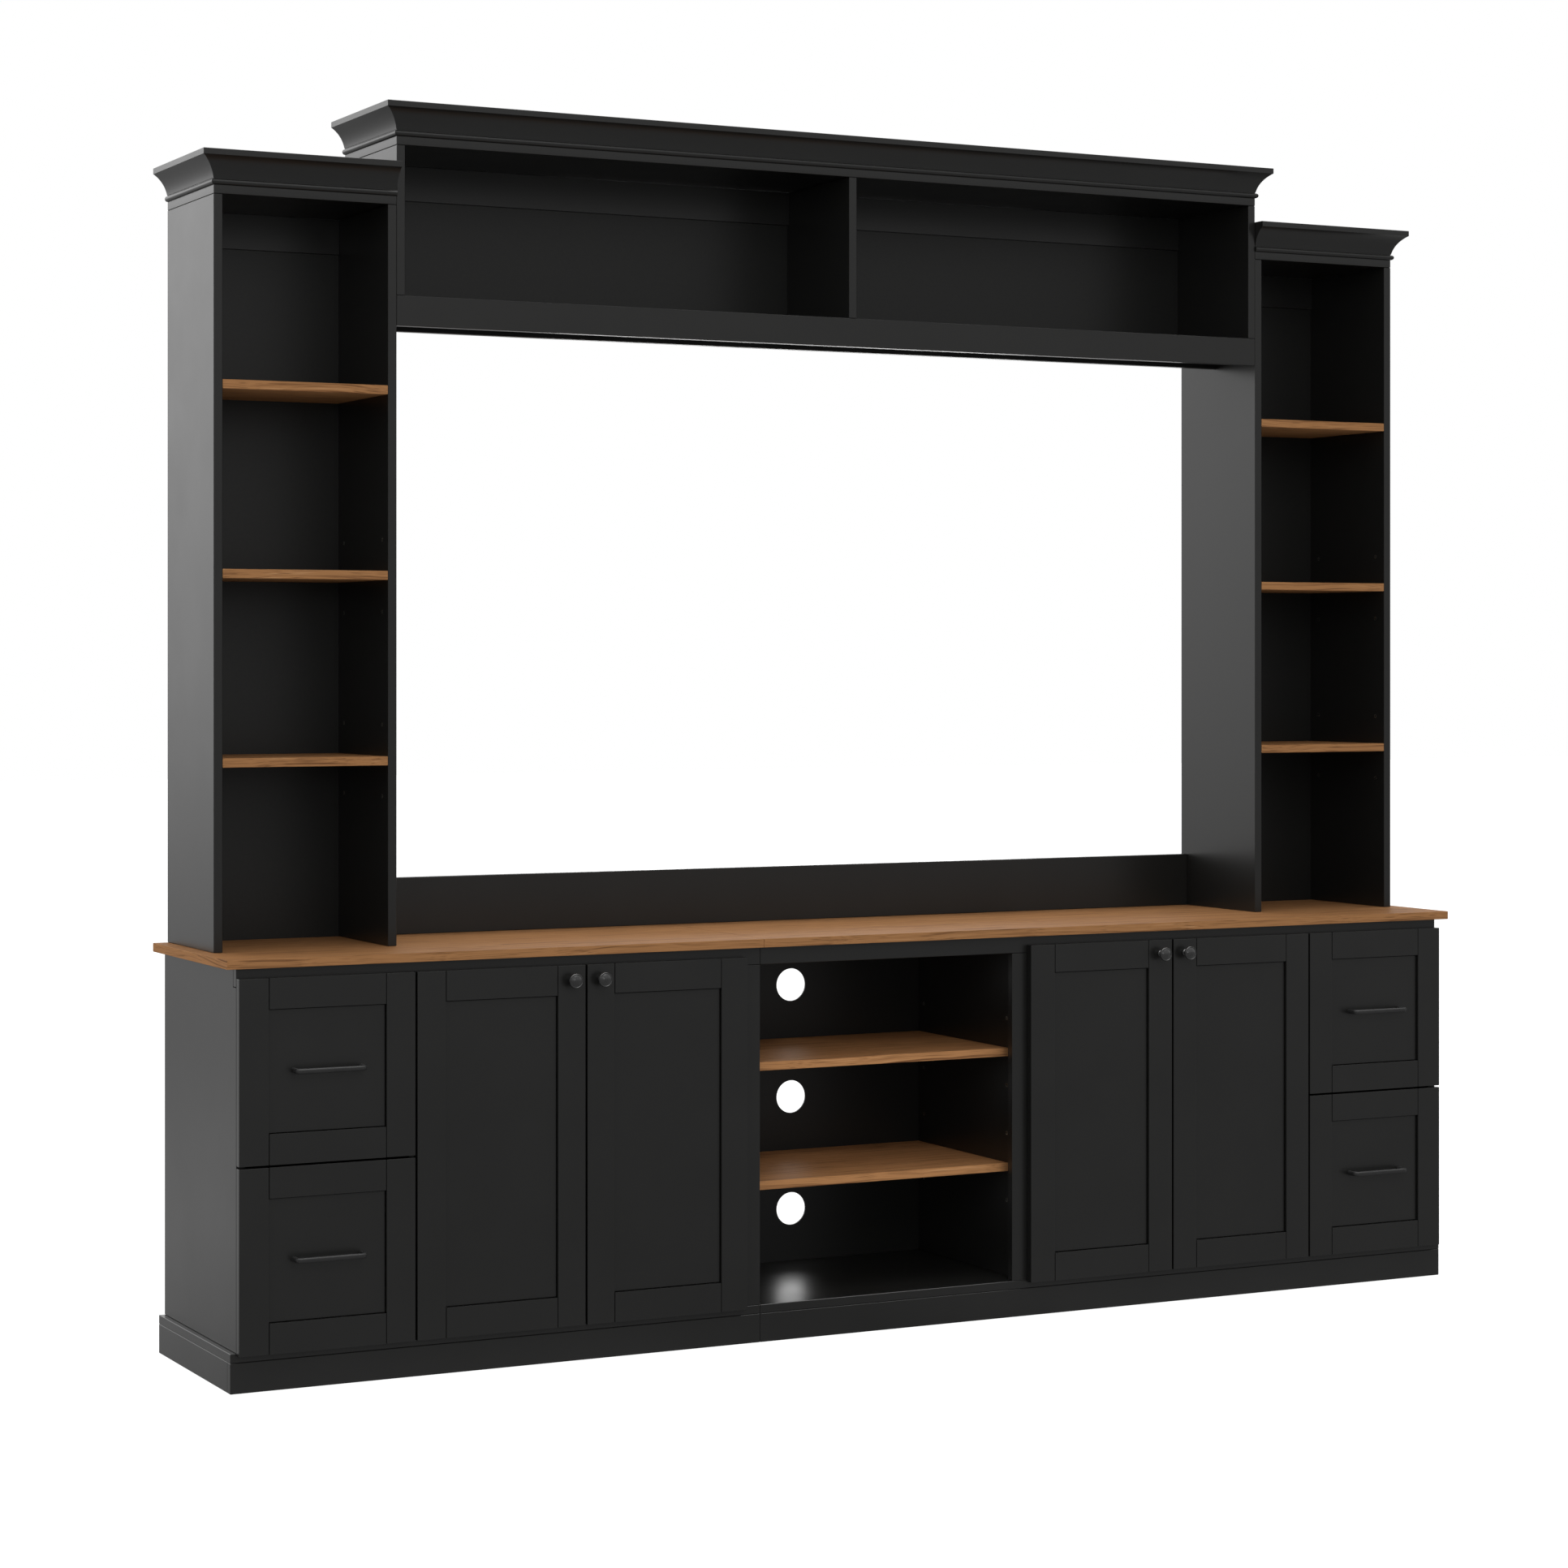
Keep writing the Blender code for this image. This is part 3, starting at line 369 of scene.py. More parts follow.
def walnut_laminate(tree, shader, spot, light, middle, dark):
    """Walnut print under melamine, cut with the grain along each board and along each edge band.

    The eye gets lengthwise streaks a few millimetres wide in warm browns, a broad flame figure, short dark
    pores and a low satin sheen.
    """
    normal = add(tree, "SeparateXYZ", add(tree, "NewGeometry").outputs["True Normal"]).outputs
    steep = add(tree, "Math", normal["X"], operation='ABSOLUTE')
    is_end = add(tree, "Math", steep, 0.7, operation='GREATER_THAN')
    split = add(tree, "SeparateXYZ", spot).outputs
    turned = add(tree, "CombineXYZ", split["Y"], split["X"], split["Z"])
    along = add(tree, "Mix", data_type='VECTOR', Factor_Float=is_end, A_Vector=spot,
                B_Vector=turned).outputs[1]
    drift = add(tree, "TexNoise", along, Scale=1 / (330 * MM)).outputs["Color"]
    swerve = add(tree, "VectorMath", drift, operation='SCALE', Scale=30 * MM)
    bent = add(tree, "VectorMath", along, swerve, operation='ADD')
    figure_place = add(tree, "Mapping", bent, Scale=(1 / (1500 * MM), 1 / (46 * MM), 1 / (30 * MM)))
    figure = add(tree, "TexNoise", figure_place, Scale=1.0, Detail=3.0, Roughness=0.55, Distortion=0.35)
    ring_place = add(tree, "Math", figure, 9.0, operation='MULTIPLY')
    rings = add(tree, "Math", ring_place, 0.5, operation='PINGPONG')
    streak_place = add(tree, "Mapping", bent, Scale=(1 / (900 * MM), 1 / (6 * MM), 1 / (5 * MM)))
    streaks = add(tree, "TexNoise", streak_place, Scale=1.0, Detail=4.0, Roughness=0.62)
    pore_place = add(tree, "Mapping", bent, Scale=(1 / (90 * MM), 1 / (1.3 * MM), 1 / (1.3 * MM)))
    pores = add(tree, "TexNoise", pore_place, Scale=1.0, Detail=1.0)
    blend = add(tree, "Mix", Factor_Float=0.26, A_Float=streaks, B_Float=rings)
    ground = add(tree, "ValToRGB", blend,
                 stops=((0.27, dark), (0.41, middle), (0.53, middle), (0.64, light)))
    pore_mask = add(tree, "MapRange", pores, From_Min=0.55, From_Max=0.72, To_Max=0.6)
    colour = add(tree, "Mix", data_type='RGBA', Factor_Float=pore_mask, A_Color=ground,
                 B_Color=(*shade(dark, 0.6), 1.0)).outputs[2]
    gloss = add(tree, "MapRange", streaks, To_Min=0.42, To_Max=0.54)
    bump = add(tree, "Bump", Height=pore_mask, Strength=0.12, Distance=0.1 * MM, invert=True)
    wire(shader, Base_Color=colour, Roughness=gloss, Normal=bump, Specular_IOR_Level=0.01)


def lacquered_zinc(tree, shader, spot, colour, roughness, coat):
    """Die-cast zinc under black lacquer, satin on the knobs and matt on the pulls.

    The eye gets near black with small, soft-edged highlights on rims and bends, and a trace of orange peel.
    """
    peel = add(tree, "TexNoise", spot, Scale=1 / (1.6 * MM))
    wear = add(tree, "TexNoise", spot, Scale=1 / (9 * MM), Detail=3.0)
    tint = add(tree, "ValToRGB", wear, stops=tones(colour, 0.85, 1.15))
    gloss = add(tree, "MapRange", wear, To_Min=roughness - 0.06, To_Max=roughness + 0.06)
    bump = add(tree, "Bump", Height=peel, Strength=0.06, Distance=0.1 * MM)
    wire(shader, Base_Color=tint, Roughness=gloss, Normal=bump, Coat_Weight=coat, Coat_Roughness=0.2)


def plated_steel(tree, shader, spot, colour):
    """Pressed sheet steel with bright zinc plating.

    The eye gets a cool silver grey, slightly cloudy, with fine lines from the rolling.
    """
    roll_place = add(tree, "Mapping", spot, Scale=(1 / (2 * MM), 1 / (60 * MM), 1 / (2 * MM)))
    lines = add(tree, "TexNoise", roll_place, Scale=1.0, Detail=4.0)
    cloud = add(tree, "TexNoise", spot, Scale=1 / (11 * MM))
    tint = add(tree, "ValToRGB", cloud, stops=tones(colour, 0.85, 1.08))
    gloss = add(tree, "MapRange", lines, To_Min=0.26, To_Max=0.42)
    wire(shader, Base_Color=tint, Roughness=gloss, Metallic=1.0)


def nylon(tree, shader, spot):
    """Moulded white nylon rollers. The eye gets a waxy off-white that lets a little light in."""
    cloud = add(tree, "TexNoise", spot, Scale=1 / (4 * MM))
    tint = add(tree, "ValToRGB", cloud, stops=((0.3, linear("#D8D6CE")), (0.7, linear("#E6E4DC"))))
    wire(shader, Base_Color=tint, Roughness=0.4)


CHARCOAL = "melamine_charcoal"
HARDBOARD = "hardboard_charcoal"
FOIL = "foil_drawer_grey"
STEEL = "steel_zinc_plated"
NYLON = "nylon_white"
PALER_SHEET = 1.35                      # how much lighter the print of the bay shelves is


def finish(name):
    """The named finish, made when it is first asked for."""
    found = bpy.data.materials.get(name)
    if found:
        return found
    chosen = bpy.context.scene.centre_finish
    board = tuple(chosen.board_colour)
    metal = tuple(chosen.metal_colour)
    walnut = (tuple(chosen.walnut_light), tuple(chosen.walnut_middle), tuple(chosen.walnut_dark))
    # Each maker, its colours and its roughness, then the grit in mm and the emboss, or the coat
    makers = {
        CHARCOAL: (melamine, board, chosen.board_roughness),
        FOIL: (melamine, tuple(chosen.drawer_colour), 0.55, 1.4, 0.1),
        HARDBOARD: (hardboard, board),
        "melamine_walnut": (walnut_laminate, *walnut),
        "melamine_walnut_pale": (walnut_laminate, *(shade(tone, PALER_SHEET) for tone in walnut)),
        "zinc_black_satin": (lacquered_zinc, metal, 0.26, 0.7),
        "zinc_black_matt": (lacquered_zinc, metal, 0.5, 0.0),
        STEEL: (plated_steel, tuple(chosen.steel_colour)),
        NYLON: (nylon,),
    }
    maker, *values = makers[name]
    material, tree, shader = new_material(name)
    maker(tree, shader, add(tree, "TexCoord").outputs["Object"], *values)
    return material


# Shapes

def add_board(bm, low, high, arris, segments=2):
    """A board with rounded arrises, between two corners."""
    low = Vector(low)
    high = Vector(high)
    size = high - low
    made = bmesh.ops.create_cube(bm, size=1.0,
                                 matrix=Matrix.Translation((low + high) / 2) @ Matrix.Diagonal((*size, 1.0)))
    if arris:
        edges = {edge for vert in made["verts"] for edge in vert.link_edges}
        bmesh.ops.bevel(bm, geom=list(edges), offset=arris, segments=segments, profile=0.5, affect='EDGES')


def add_side_board(bm, side, inner, outer, y, z, arris):
    """A board between two distances from the middle, towards one side."""
    x = sorted((side * inner, side * outer))
    add_board(bm, (x[0], y[0], z[0]), (x[1], y[1], z[1]), arris)


def add_rod(bm, centre, axis, radius, length, sides):
    """A round bar about its centre, along X, Y or Z."""
    turns = {'X': Matrix.Rotation(pi / 2, 4, 'Y'), 'Y': Matrix.Rotation(pi / 2, 4, 'X'), 'Z': Matrix()}
    bmesh.ops.create_cone(bm, cap_ends=True, segments=sides, radius1=radius, radius2=radius, depth=length,
                          matrix=Matrix.Translation(centre) @ turns[axis])


def add_loft(bm, rings, close_ends=True):
    """A skin through rings of equally many points."""
    loops = [[bm.verts.new(point) for point in ring] for ring in rings]
    for first, second in zip(loops, loops[1:]):
        for i in range(len(first)):
            j = (i + 1) % len(first)
            bm.faces.new((first[i], first[j], second[j], second[i]))
    if close_ends:
        bm.faces.new(loops[0])
        bm.faces.new(reversed(loops[-1]))


def turned_rings(centre, away, profile, sides):
    """Rings of a turned shape. Its profile is (radius, height) along the direction it stands away in."""
    away = Vector(away)
    across = away.orthogonal().normalized()
    third = away.cross(across)
    angles = [2 * pi * i / sides for i in range(sides)]
    return [[Vector(centre) + away * height + (across * cos(a) + third * sin(a)) * radius for a in angles]
            for radius, height in profile]


def add_turned(bm, centre, away, profile, sides):
    """A turned piece, closed at both ends."""
    add_loft(bm, turned_rings(centre, away, profile, sides))


def add_screw(bm, place, away):
    """A pan head screw whose head stands on a surface."""
    profile = [(SCREW_RADIUS, 0)]
    for i in range(1, SCREW_STEPS):
        a = pi / 2 * i / SCREW_STEPS
        profile.append((SCREW_RADIUS * cos(a) ** 0.5, SCREW_HEIGHT * sin(a)))
    recess = [(SCREW_RADIUS * 0.3, SCREW_HEIGHT), (SCREW_RADIUS * 0.22, SCREW_HEIGHT * 0.4)]
    add_turned(bm, place, away, profile + recess, sides=16)


def mesh_object(bm, name):
    """The mesh as an object in the scene, with its faces pointing out."""
    bmesh.ops.recalc_face_normals(bm, faces=bm.faces[:])
    mesh = bpy.data.meshes.new(name)
    bm.to_mesh(mesh)
    bm.free()
    obj = bpy.data.objects.new(name, mesh)
    bpy.context.scene.collection.objects.link(obj)
    return obj


def cut(obj, cutter_mesh):
    """Cut the object and keep the result as its mesh."""
    cutter = mesh_object(cutter_mesh, "cutter")
    modifier = obj.modifiers.new("cut", 'BOOLEAN')
    modifier.operation = 'DIFFERENCE'
    modifier.object = cutter
    modifier.solver = 'EXACT'
    result = bpy.data.meshes.new_from_object(obj.evaluated_get(bpy.context.evaluated_depsgraph_get()))
    obj.modifiers.clear()
    old = obj.data
    obj.data = result
    result.name = obj.name
    bpy.data.meshes.remove(old)
    spent = cutter.data
    bpy.data.objects.remove(cutter)
    bpy.data.meshes.remove(spent)


def finished(bm, name, finish_name, cutter=None, angle=SHARP_ANGLE):
    """The mesh as an object with its finish. Edges that turn by more than the angle stay sharp."""
    obj = mesh_object(bm, name)
    if cutter:
        cut(obj, cutter)
    obj.data.materials.clear()
    obj.data.materials.append(finish(finish_name))
    obj.data.shade_smooth()
    if angle:
        obj.data.set_sharp_from_angle(angle=radians(angle))
    return obj


def place_piece(bm, name, finish_name, like, cutter=None, subdivide=0, angle=SHARP_ANGLE):
    """One finished piece of the scene. It rides with the CAD node it is like, and stands for it."""
    obj = finished(bm, name, finish_name, cutter, 0 if subdivide else angle)
    if subdivide:
        smooth = obj.modifiers.new("smooth", 'SUBSURF')
        smooth.levels = subdivide
        smooth.render_levels = subdivide
    else:
        level = obj.modifiers.new("flat faces", 'WEIGHTED_NORMAL')
        level.keep_sharp = True
    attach(obj, frame["nodes"][like]["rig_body"])
    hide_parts(like)


def dress(nodes, finish_name):
    """CAD nodes keep their shape and get a finish."""
    for node in nodes:
        materials = frame["nodes"][node].data.materials
        if len(materials) == 0:
            materials.append(None)
        for i in range(len(materials)):
            materials[i] = finish(finish_name)


def reach(node):
    """Distances of a node's inner and outer face from the middle."""
    low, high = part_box(node)
    return sorted((abs(low.x), abs(high.x)))


# Fronts

def drawer_names(ending):
    """Names of the drawers' nodes of one kind."""
    return [name + place + "_drawer" + ending for _, name in SIDES for place in ("_lower", "_upper")]


def hinge_heights():
    """Centres of a door's two hinges."""
    return (DOOR_Z[0] + HINGE_END, DOOR_Z[1] - HINGE_END)


def framed_front(node):
    """Two stiles over the node's full height, two rails between them and the recessed panel."""
    sizes = bpy.context.scene.centre_fronts
    x, _, z = zip(*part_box(node))
    y = (FACE_Y, REAR_Y)
    gap = FRAME_GAP
    bm = bmesh.new()
    inner = (x[0] + sizes.frame_width, x[1] - sizes.frame_width)
    rails = (z[0] + sizes.frame_width, z[1] - sizes.frame_width)
    add_board(bm, (x[0], y[0], z[0]), (inner[0], y[1], z[1]), sizes.arris)
    add_board(bm, (inner[1], y[0], z[0]), (x[1], y[1], z[1]), sizes.arris)
    for low, high in ((z[0], rails[0]), (rails[1], z[1])):
        add_board(bm, (inner[0] + gap, y[0], low), (inner[1] - gap, y[1], high), sizes.joint)
    add_board(bm, (inner[0] + gap, y[0] + sizes.recess, rails[0] + gap),
              (inner[1] - gap, y[1], rails[1] - gap), sizes.joint, segments=1)
    return bm


def add_hinge_cup(bm, centre_x, centre_z):
    """A pressed cup and its flange, let into the rear of a door."""
    angles = [2 * pi * i / CUP_SIDES for i in range(CUP_SIDES)]
    top = REAR_Y + FLANGE_THICKNESS
    bottom = REAR_Y - CUP_DEPTH + SLACK

    def circle(radius, y):
        return [(centre_x + radius * cos(a), y, centre_z + radius * sin(a)) for a in angles]

    def squared(share):
        return copysign(abs(share) ** (2 / FLANGE_SQUARENESS), share)

    def outline(inset, y):
        return [(centre_x + (FLANGE_SIZE[0] / 2 - inset) * squared(cos(a)), y,
                 centre_z + (FLANGE_SIZE[1] / 2 - inset) * squared(sin(a))) for a in angles]

    outer = CUP_RADIUS - SLACK
    inner = outer - CUP_WALL
    inside = [circle(inner * share, bottom + CUP_WALL) for share in CUP_FLOOR_SHARES]
    outside = [circle(outer * share, bottom) for share in reversed(CUP_FLOOR_SHARES)]
    rim = [circle(inner, bottom + 2 * CUP_WALL), circle(inner, top - CUP_WALL / 2),
           circle(inner + CUP_WALL / 2, top), outline(SLACK, top), outline(0, top - SLACK),
           outline(0, REAR_Y + SLACK / 3), circle(outer, REAR_Y + SLACK / 3),
           circle(outer, bottom + CUP_WALL)]
    add_loft(bm, inside + rim + outside)
    screw_reach = FLANGE_SIZE[1] / 2 - SCREW_RADIUS - FLANGE_THICKNESS
    for sign in (-1, 1):
        add_screw(bm, (centre_x, top, centre_z + sign * screw_reach), (0, 1, 0))


def make_hinge_links(node, x):
    """The links from a door's arms into its cups, in short lengths."""
    across, up = (size / 2 for size in LINK_SIZE)
    outline = ((-across, LINK_EASE - up), (LINK_EASE - across, -up), (across - LINK_EASE, -up),
               (across, LINK_EASE - up), (across, up - LINK_EASE), (across - LINK_EASE, up),
               (LINK_EASE - across, up), (-across, up - LINK_EASE))
    front = ARM_FRONT_Y + LINK_LAP
    rear = REAR_Y - CUP_DEPTH + LINK_LAP
    places = [front + (rear - front) * i / LINK_STEPS for i in range(LINK_STEPS + 1)]
    bm = bmesh.new()
    for z in hinge_heights():
        add_loft(bm, [[(x + a, y, z + u) for a, u in outline] for y in places])
    links = finished(bm, node + "_hinge_links", STEEL)
    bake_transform(links)


def make_door(side, name, panel_face, into):
    """A shaker door with its hinge cups. into is the way from the hinge's panel into the cabinet."""
    node = name + "_door"
    bores = bmesh.new()
    cups = bmesh.new()
    cup_x = side * (panel_face + into * CUP_CENTRE)
    for z in hinge_heights():
        add_rod(bores, (cup_x, REAR_Y + (OVERRUN - CUP_DEPTH) / 2, z), 'Y',
                CUP_RADIUS, CUP_DEPTH + OVERRUN, CUP_SIDES)
        add_hinge_cup(cups, cup_x, z)
    place_piece(framed_front(node), node + "_front", CHARCOAL, node, cutter=bores)
    place_piece(cups, node + "_hinge_cups", STEEL, node)
    make_hinge_links(node, side * (panel_face + into * LINK_CENTRE))


class CENTRE_OT_doors(bpy.types.Operator):
    """Build the four shaker doors and their hinge cups"""
    bl_idname = "centre.doors"
    bl_label = "Doors"

    def execute(self, context):
        for side, name in SIDES:
            make_door(side, name + "_outer", DIVIDER_X - BOARD / 2, -1)
            make_door(side, name + "_inner", WALL_OUT, 1)
        return {'FINISHED'}


class CENTRE_OT_drawer_fronts(bpy.types.Operator):
    """Build the four shaker drawer fronts"""
    bl_idname = "centre.drawer_fronts"
    bl_label = "Drawer fronts"

    def execute(self, context):
        for node in drawer_names("_front"):
            place_piece(framed_front(node), node + "_frame", CHARCOAL, node)
        return {'FINISHED'}


# Knobs and pulls

class CENTRE_OT_knobs(bpy.types.Operator):
    """Turn the four mushroom knobs"""
    bl_idname = "centre.knobs"
    bl_label = "Knobs"

    def execute(self, context):
        for _, name in SIDES:
            for place in ("_outer", "_inner"):
                node = name + place + "_door_knob"
                low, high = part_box(node)
                centre = ((low.x + high.x) / 2, high.y, (low.z + high.z) / 2)
                radius = (high.x - low.x) / 2
                height = high.y - low.y
                profile = [(r * radius, h * height) for r, h in KNOB_CAGE_SHARES]
                bm = bmesh.new()
                add_turned(bm, centre, (0, -1, 0), profile, KNOB_CAGE_SIDES)
                place_piece(bm, node + "_turned", "zinc_black_satin", node, subdivide=2)
        return {'FINISHED'}


def bar_section():
    """Outline of the pull's bar, a rectangle with round corners, as (across, up)."""
    across = PULL_BAR_DEPTH / 2 - PULL_EDGE_RADIUS
    up = PULL_BAR_HEIGHT / 2 - PULL_EDGE_RADIUS
    points = []
    for quarter, (sign_across, sign_up) in enumerate(((1, 1), (-1, 1), (-1, -1), (1, -1))):
        for i in range(PULL_CORNER_STEPS + 1):
            a = pi / 2 * (quarter + i / PULL_CORNER_STEPS)
            points.append((sign_across * across + PULL_EDGE_RADIUS * cos(a),
                           sign_up * up + PULL_EDGE_RADIUS * sin(a)))
    return points


def add_pull(bm, low, high):
    """A bar between two corners that turns back to its two feet."""
    centre = (low + high) / 2
    half = (high.x - low.x - PULL_BAR_DEPTH) / 2
    bar_y = low.y + PULL_BAR_DEPTH / 2
    stations = [(-half, high.y, 1, 0)]
    for i in range(PULL_BEND_STEPS + 1):
        a = pi / 2 * i / PULL_BEND_STEPS
        stations.append((-half + PULL_BEND_RADIUS * (1 - cos(a)), bar_y + PULL_BEND_RADIUS * (1 - sin(a)),
                         cos(a), sin(a)))
    stations += [(-x, y, -nx, ny) for x, y, nx, ny in reversed(stations)]
    add_loft(bm, [[(centre.x + x + nx * a, y + ny * a, centre.z + up) for a, up in bar_section()]
                  for x, y, nx, ny in stations])


class CENTRE_OT_pulls(bpy.types.Operator):
    """Bend the four drawer pulls"""
    bl_idname = "centre.pulls"
    bl_label = "Pulls"

    def execute(self, context):
        for node in drawer_names("_pull"):
            bm = bmesh.new()
            add_pull(bm, *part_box(node))
            place_piece(bm, node + "_bar", "zinc_black_matt", node, angle=50)
        return {'FINISHED'}


# Runners, hinges and the panels that hold them

def add_angle(bm, side, face, into, y, ledge, end):
    """A sheet steel angle on a panel's face: its ledge stands out at one height, its web ends at another."""
    web = face + into * RUNNER_SHEET
    tip = face + into * RUNNER_LEDGE
    way = 1 if end > ledge else -1
    inside = ledge + way * RUNNER_SHEET
    bend = RUNNER_SHEET
    outline = [(face, ledge + way * bend)]
    for i in range(1, RUNNER_BEND_STEPS):
        a = pi / 2 * i / RUNNER_BEND_STEPS
        outline.append((face + into * bend * (1 - cos(a)), ledge + way * bend * (1 - sin(a))))
    outline += [(face + into * bend, ledge), (tip, ledge), (tip, inside), (web + into * bend / 2, inside),
                (web, inside + way * bend / 2), (web, end), (face, end)]
    add_loft(bm, [[(side * x, at, z) for x, z in outline] for at in y])


def add_roller(rollers, steel, side, face, into, y, z):
    """A grooved roller beside a panel's face, and its steel axle."""
    half = ROLLER_WIDTH / 2
    lip = ROLLER_GROOVE
    profile = [(ROLLER_BORE, -half), (ROLLER_RADIUS - lip, -half), (ROLLER_RADIUS, -half + lip),
               (ROLLER_RADIUS, half - lip), (ROLLER_RADIUS - lip, half), (ROLLER_BORE, half)]
    centre = (side * (face + into * (RUNNER_SHEET + half)), y, z)
    add_turned(rollers, centre, (side, 0, 0), profile, sides=32)
    add_rod(steel, centre, 'X', AXLE_RADIUS, ROLLER_WIDTH, sides=16)


def runner_base(level):
    """Height of a fixed runner's underside, for the drawer front that starts at this level."""
    return level + BOX_RAISE + SLIDE_WEB - 2 * SLACK - 2 * ROLLER_RADIUS - 2 * RUNNER_SHEET


def make_fixed_runners(side, name, face, into, like):
    """Both fixed runners on one panel, their rollers and screws."""
    steel = bmesh.new()
    rollers = bmesh.new()
    y = (CARCASS_Y + RUNNER_SETBACK, DRAWER_REAR_Y)
    for place in ("_lower", "_upper"):
        z = runner_base(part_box(name + place + "_drawer_front")[0].z)
        add_angle(steel, side, face, into, y, z, z + RUNNER_HEIGHT)
        add_roller(rollers, steel, side, face, into, y[0] + ROLLER_END, z + AXLE_RISE)
        for share in RUNNER_SCREW_SHARES:
            add_screw(steel, (side * (face + into * RUNNER_SHEET), y[0] + (y[1] - y[0]) * share,
                              z + RUNNER_HEIGHT - 2 * SCREW_RADIUS), (side * into, 0, 0))
    place_piece(steel, like + "_runners", STEEL, like)
    place_piece(rollers, like + "_rollers", NYLON, like)


def make_hinge_arms(side, face, into, like):
    """Mounting plates and arms of both hinges on one panel."""
    plate_y = (CARCASS_Y + PLATE_SETBACK, CARCASS_Y + PLATE_SETBACK + PLATE_SIZE[0])
    front = ARM_FRONT_Y
    rear = plate_y[1] - PLATE_THICKNESS
    step = front + ARM_FRONT
    foot = PLATE_THICKNESS / 2
    slope = 4 * ARM_EASE
    half = ARM_WIDTH / 2
    inset = ARM_EASE / 2
    outline = ((foot, front), (CUP_CENTRE, front), (CUP_CENTRE, step - ARM_EASE),
               (CUP_CENTRE - ARM_EASE, step), (ARM_PROUD + ARM_EASE, step), (ARM_PROUD, step + ARM_EASE),
               (ARM_PROUD, rear - slope), (ARM_PROUD - slope, rear), (foot, rear))
    levels = ((-half, inset), (inset - half, 0), (half - inset, 0), (half, inset))
    away = (side * into, 0, 0)
    bm = bmesh.new()
    for z in hinge_heights():
        add_side_board(bm, side, face, face + into * PLATE_THICKNESS, plate_y,
                       (z - PLATE_SIZE[1] / 2, z + PLATE_SIZE[1] / 2), PLATE_THICKNESS / 3)
        add_loft(bm, [[(side * (face + into * (out + copysign(ease, CUP_CENTRE / 2 - out))),
                        y + copysign(ease, (front + rear) / 2 - y), z + rise) for out, y in outline]
                      for rise, ease in levels])
        for share in ARM_SCREW_SHARES:
            add_screw(bm, (side * (face + into * ARM_PROUD), front + (rear - front) * share, z), away)
        for sign in (-1, 1):
            add_screw(bm, (side * (face + into * PLATE_THICKNESS), sum(plate_y) / 2,
                           z + sign * (PLATE_SIZE[1] / 2 - SCREW_RADIUS - PLATE_THICKNESS / 2)), away)
    place_piece(bm, like + "_hinge_arms", STEEL, like)


def make_upright(side, node, faces, y, cuts, notched=True):
    """An upright panel with its cuts. A notched one lets the top rail lap over its front corner."""
    board = bmesh.new()
    add_side_board(board, side, *faces, y, UPRIGHT_Z, bpy.context.scene.centre_fronts.arris)
    if notched:
        add_side_board(cuts, side, faces[0] - OVERRUN, faces[1] + OVERRUN,
                       (CARCASS_Y - OVERRUN, CARCASS_Y + BOARD + NOTCH_GAP),
                       (RAIL_BOTTOM - NOTCH_GAP, UPRIGHT_Z[1] + OVERRUN), 0)
    place_piece(board, node + "_board", CHARCOAL, node, cutter=cuts)


def shelf_height(node):
    """Middle of a shelf's thickness."""
    low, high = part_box(node)
    return (low.z + high.z) / 2


def bay_pins(steps):
    """Places of the media bay's shelf pins, as (y, z), so many holes above or below each shelf."""
    return [(y, shelf_height(node) + step * PIN_STEP)
            for y in (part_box(BAY_SHELVES[0])[0].y + BAY_PIN_FRONT, BACK_FACE_Y - BAY_PIN_REAR)
            for node in BAY_SHELVES for step in steps]


class CENTRE_OT_uprights(bpy.types.Operator):
    """Build the base's upright panels with their hinges and runners"""
    bl_idname = "centre.uprights"
    bl_label = "Uprights"

    def execute(self, context):
        for side, name in SIDES:
            node = name + "_end_panel"
            faces = (HALF - BOARD, HALF)
            groove = bmesh.new()
            add_side_board(groove, side, faces[0] - OVERRUN, faces[0] + GROOVE_DEPTH,
                           (BACK_FACE_Y - SLACK, BACK_FACE_Y + BACK_THICKNESS + SLACK),
                           (UPRIGHT_Z[0] - OVERRUN, UPRIGHT_Z[1] + OVERRUN), 0)
            make_upright(side, node, faces, (CARCASS_Y, BACK_Y), groove)
            make_fixed_runners(side, name, faces[0], -1, node)
            node = name + "_divider"
            faces = (DIVIDER_X - BOARD / 2, DIVIDER_X + BOARD / 2)
            make_upright(side, node, faces, (CARCASS_Y, BACK_FACE_Y - SLACK), bmesh.new())
            make_fixed_runners(side, name, faces[1], 1, node)
            make_hinge_arms(side, faces[0], -1, node)
            node = name + "_bay_wall"
            holes = bmesh.new()
            for y, z in bay_pins((-1, 0, 1)):
                add_rod(holes, (side * (WALL_IN + (PIN_HOLE_DEPTH - OVERRUN) / 2), y, z), 'X',
                        PIN_HOLE_RADIUS, PIN_HOLE_DEPTH + OVERRUN, sides=20)
            stile_rear = CARCASS_Y + BOARD
            make_upright(side, node, (WALL_IN, WALL_OUT), (stile_rear + SLACK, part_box(node)[1].y), holes,
                         notched=False)
            stile = bmesh.new()
            add_side_board(stile, side, reach(node)[0], WALL_OUT, (CARCASS_Y, stile_rear),
                           (UPRIGHT_Z[0], RAIL_BOTTOM - SLACK), context.scene.centre_fronts.arris)
            place_piece(stile, node + "_stile", CHARCOAL, node)
            make_hinge_arms(side, WALL_OUT, 1, node)
        return {'FINISHED'}


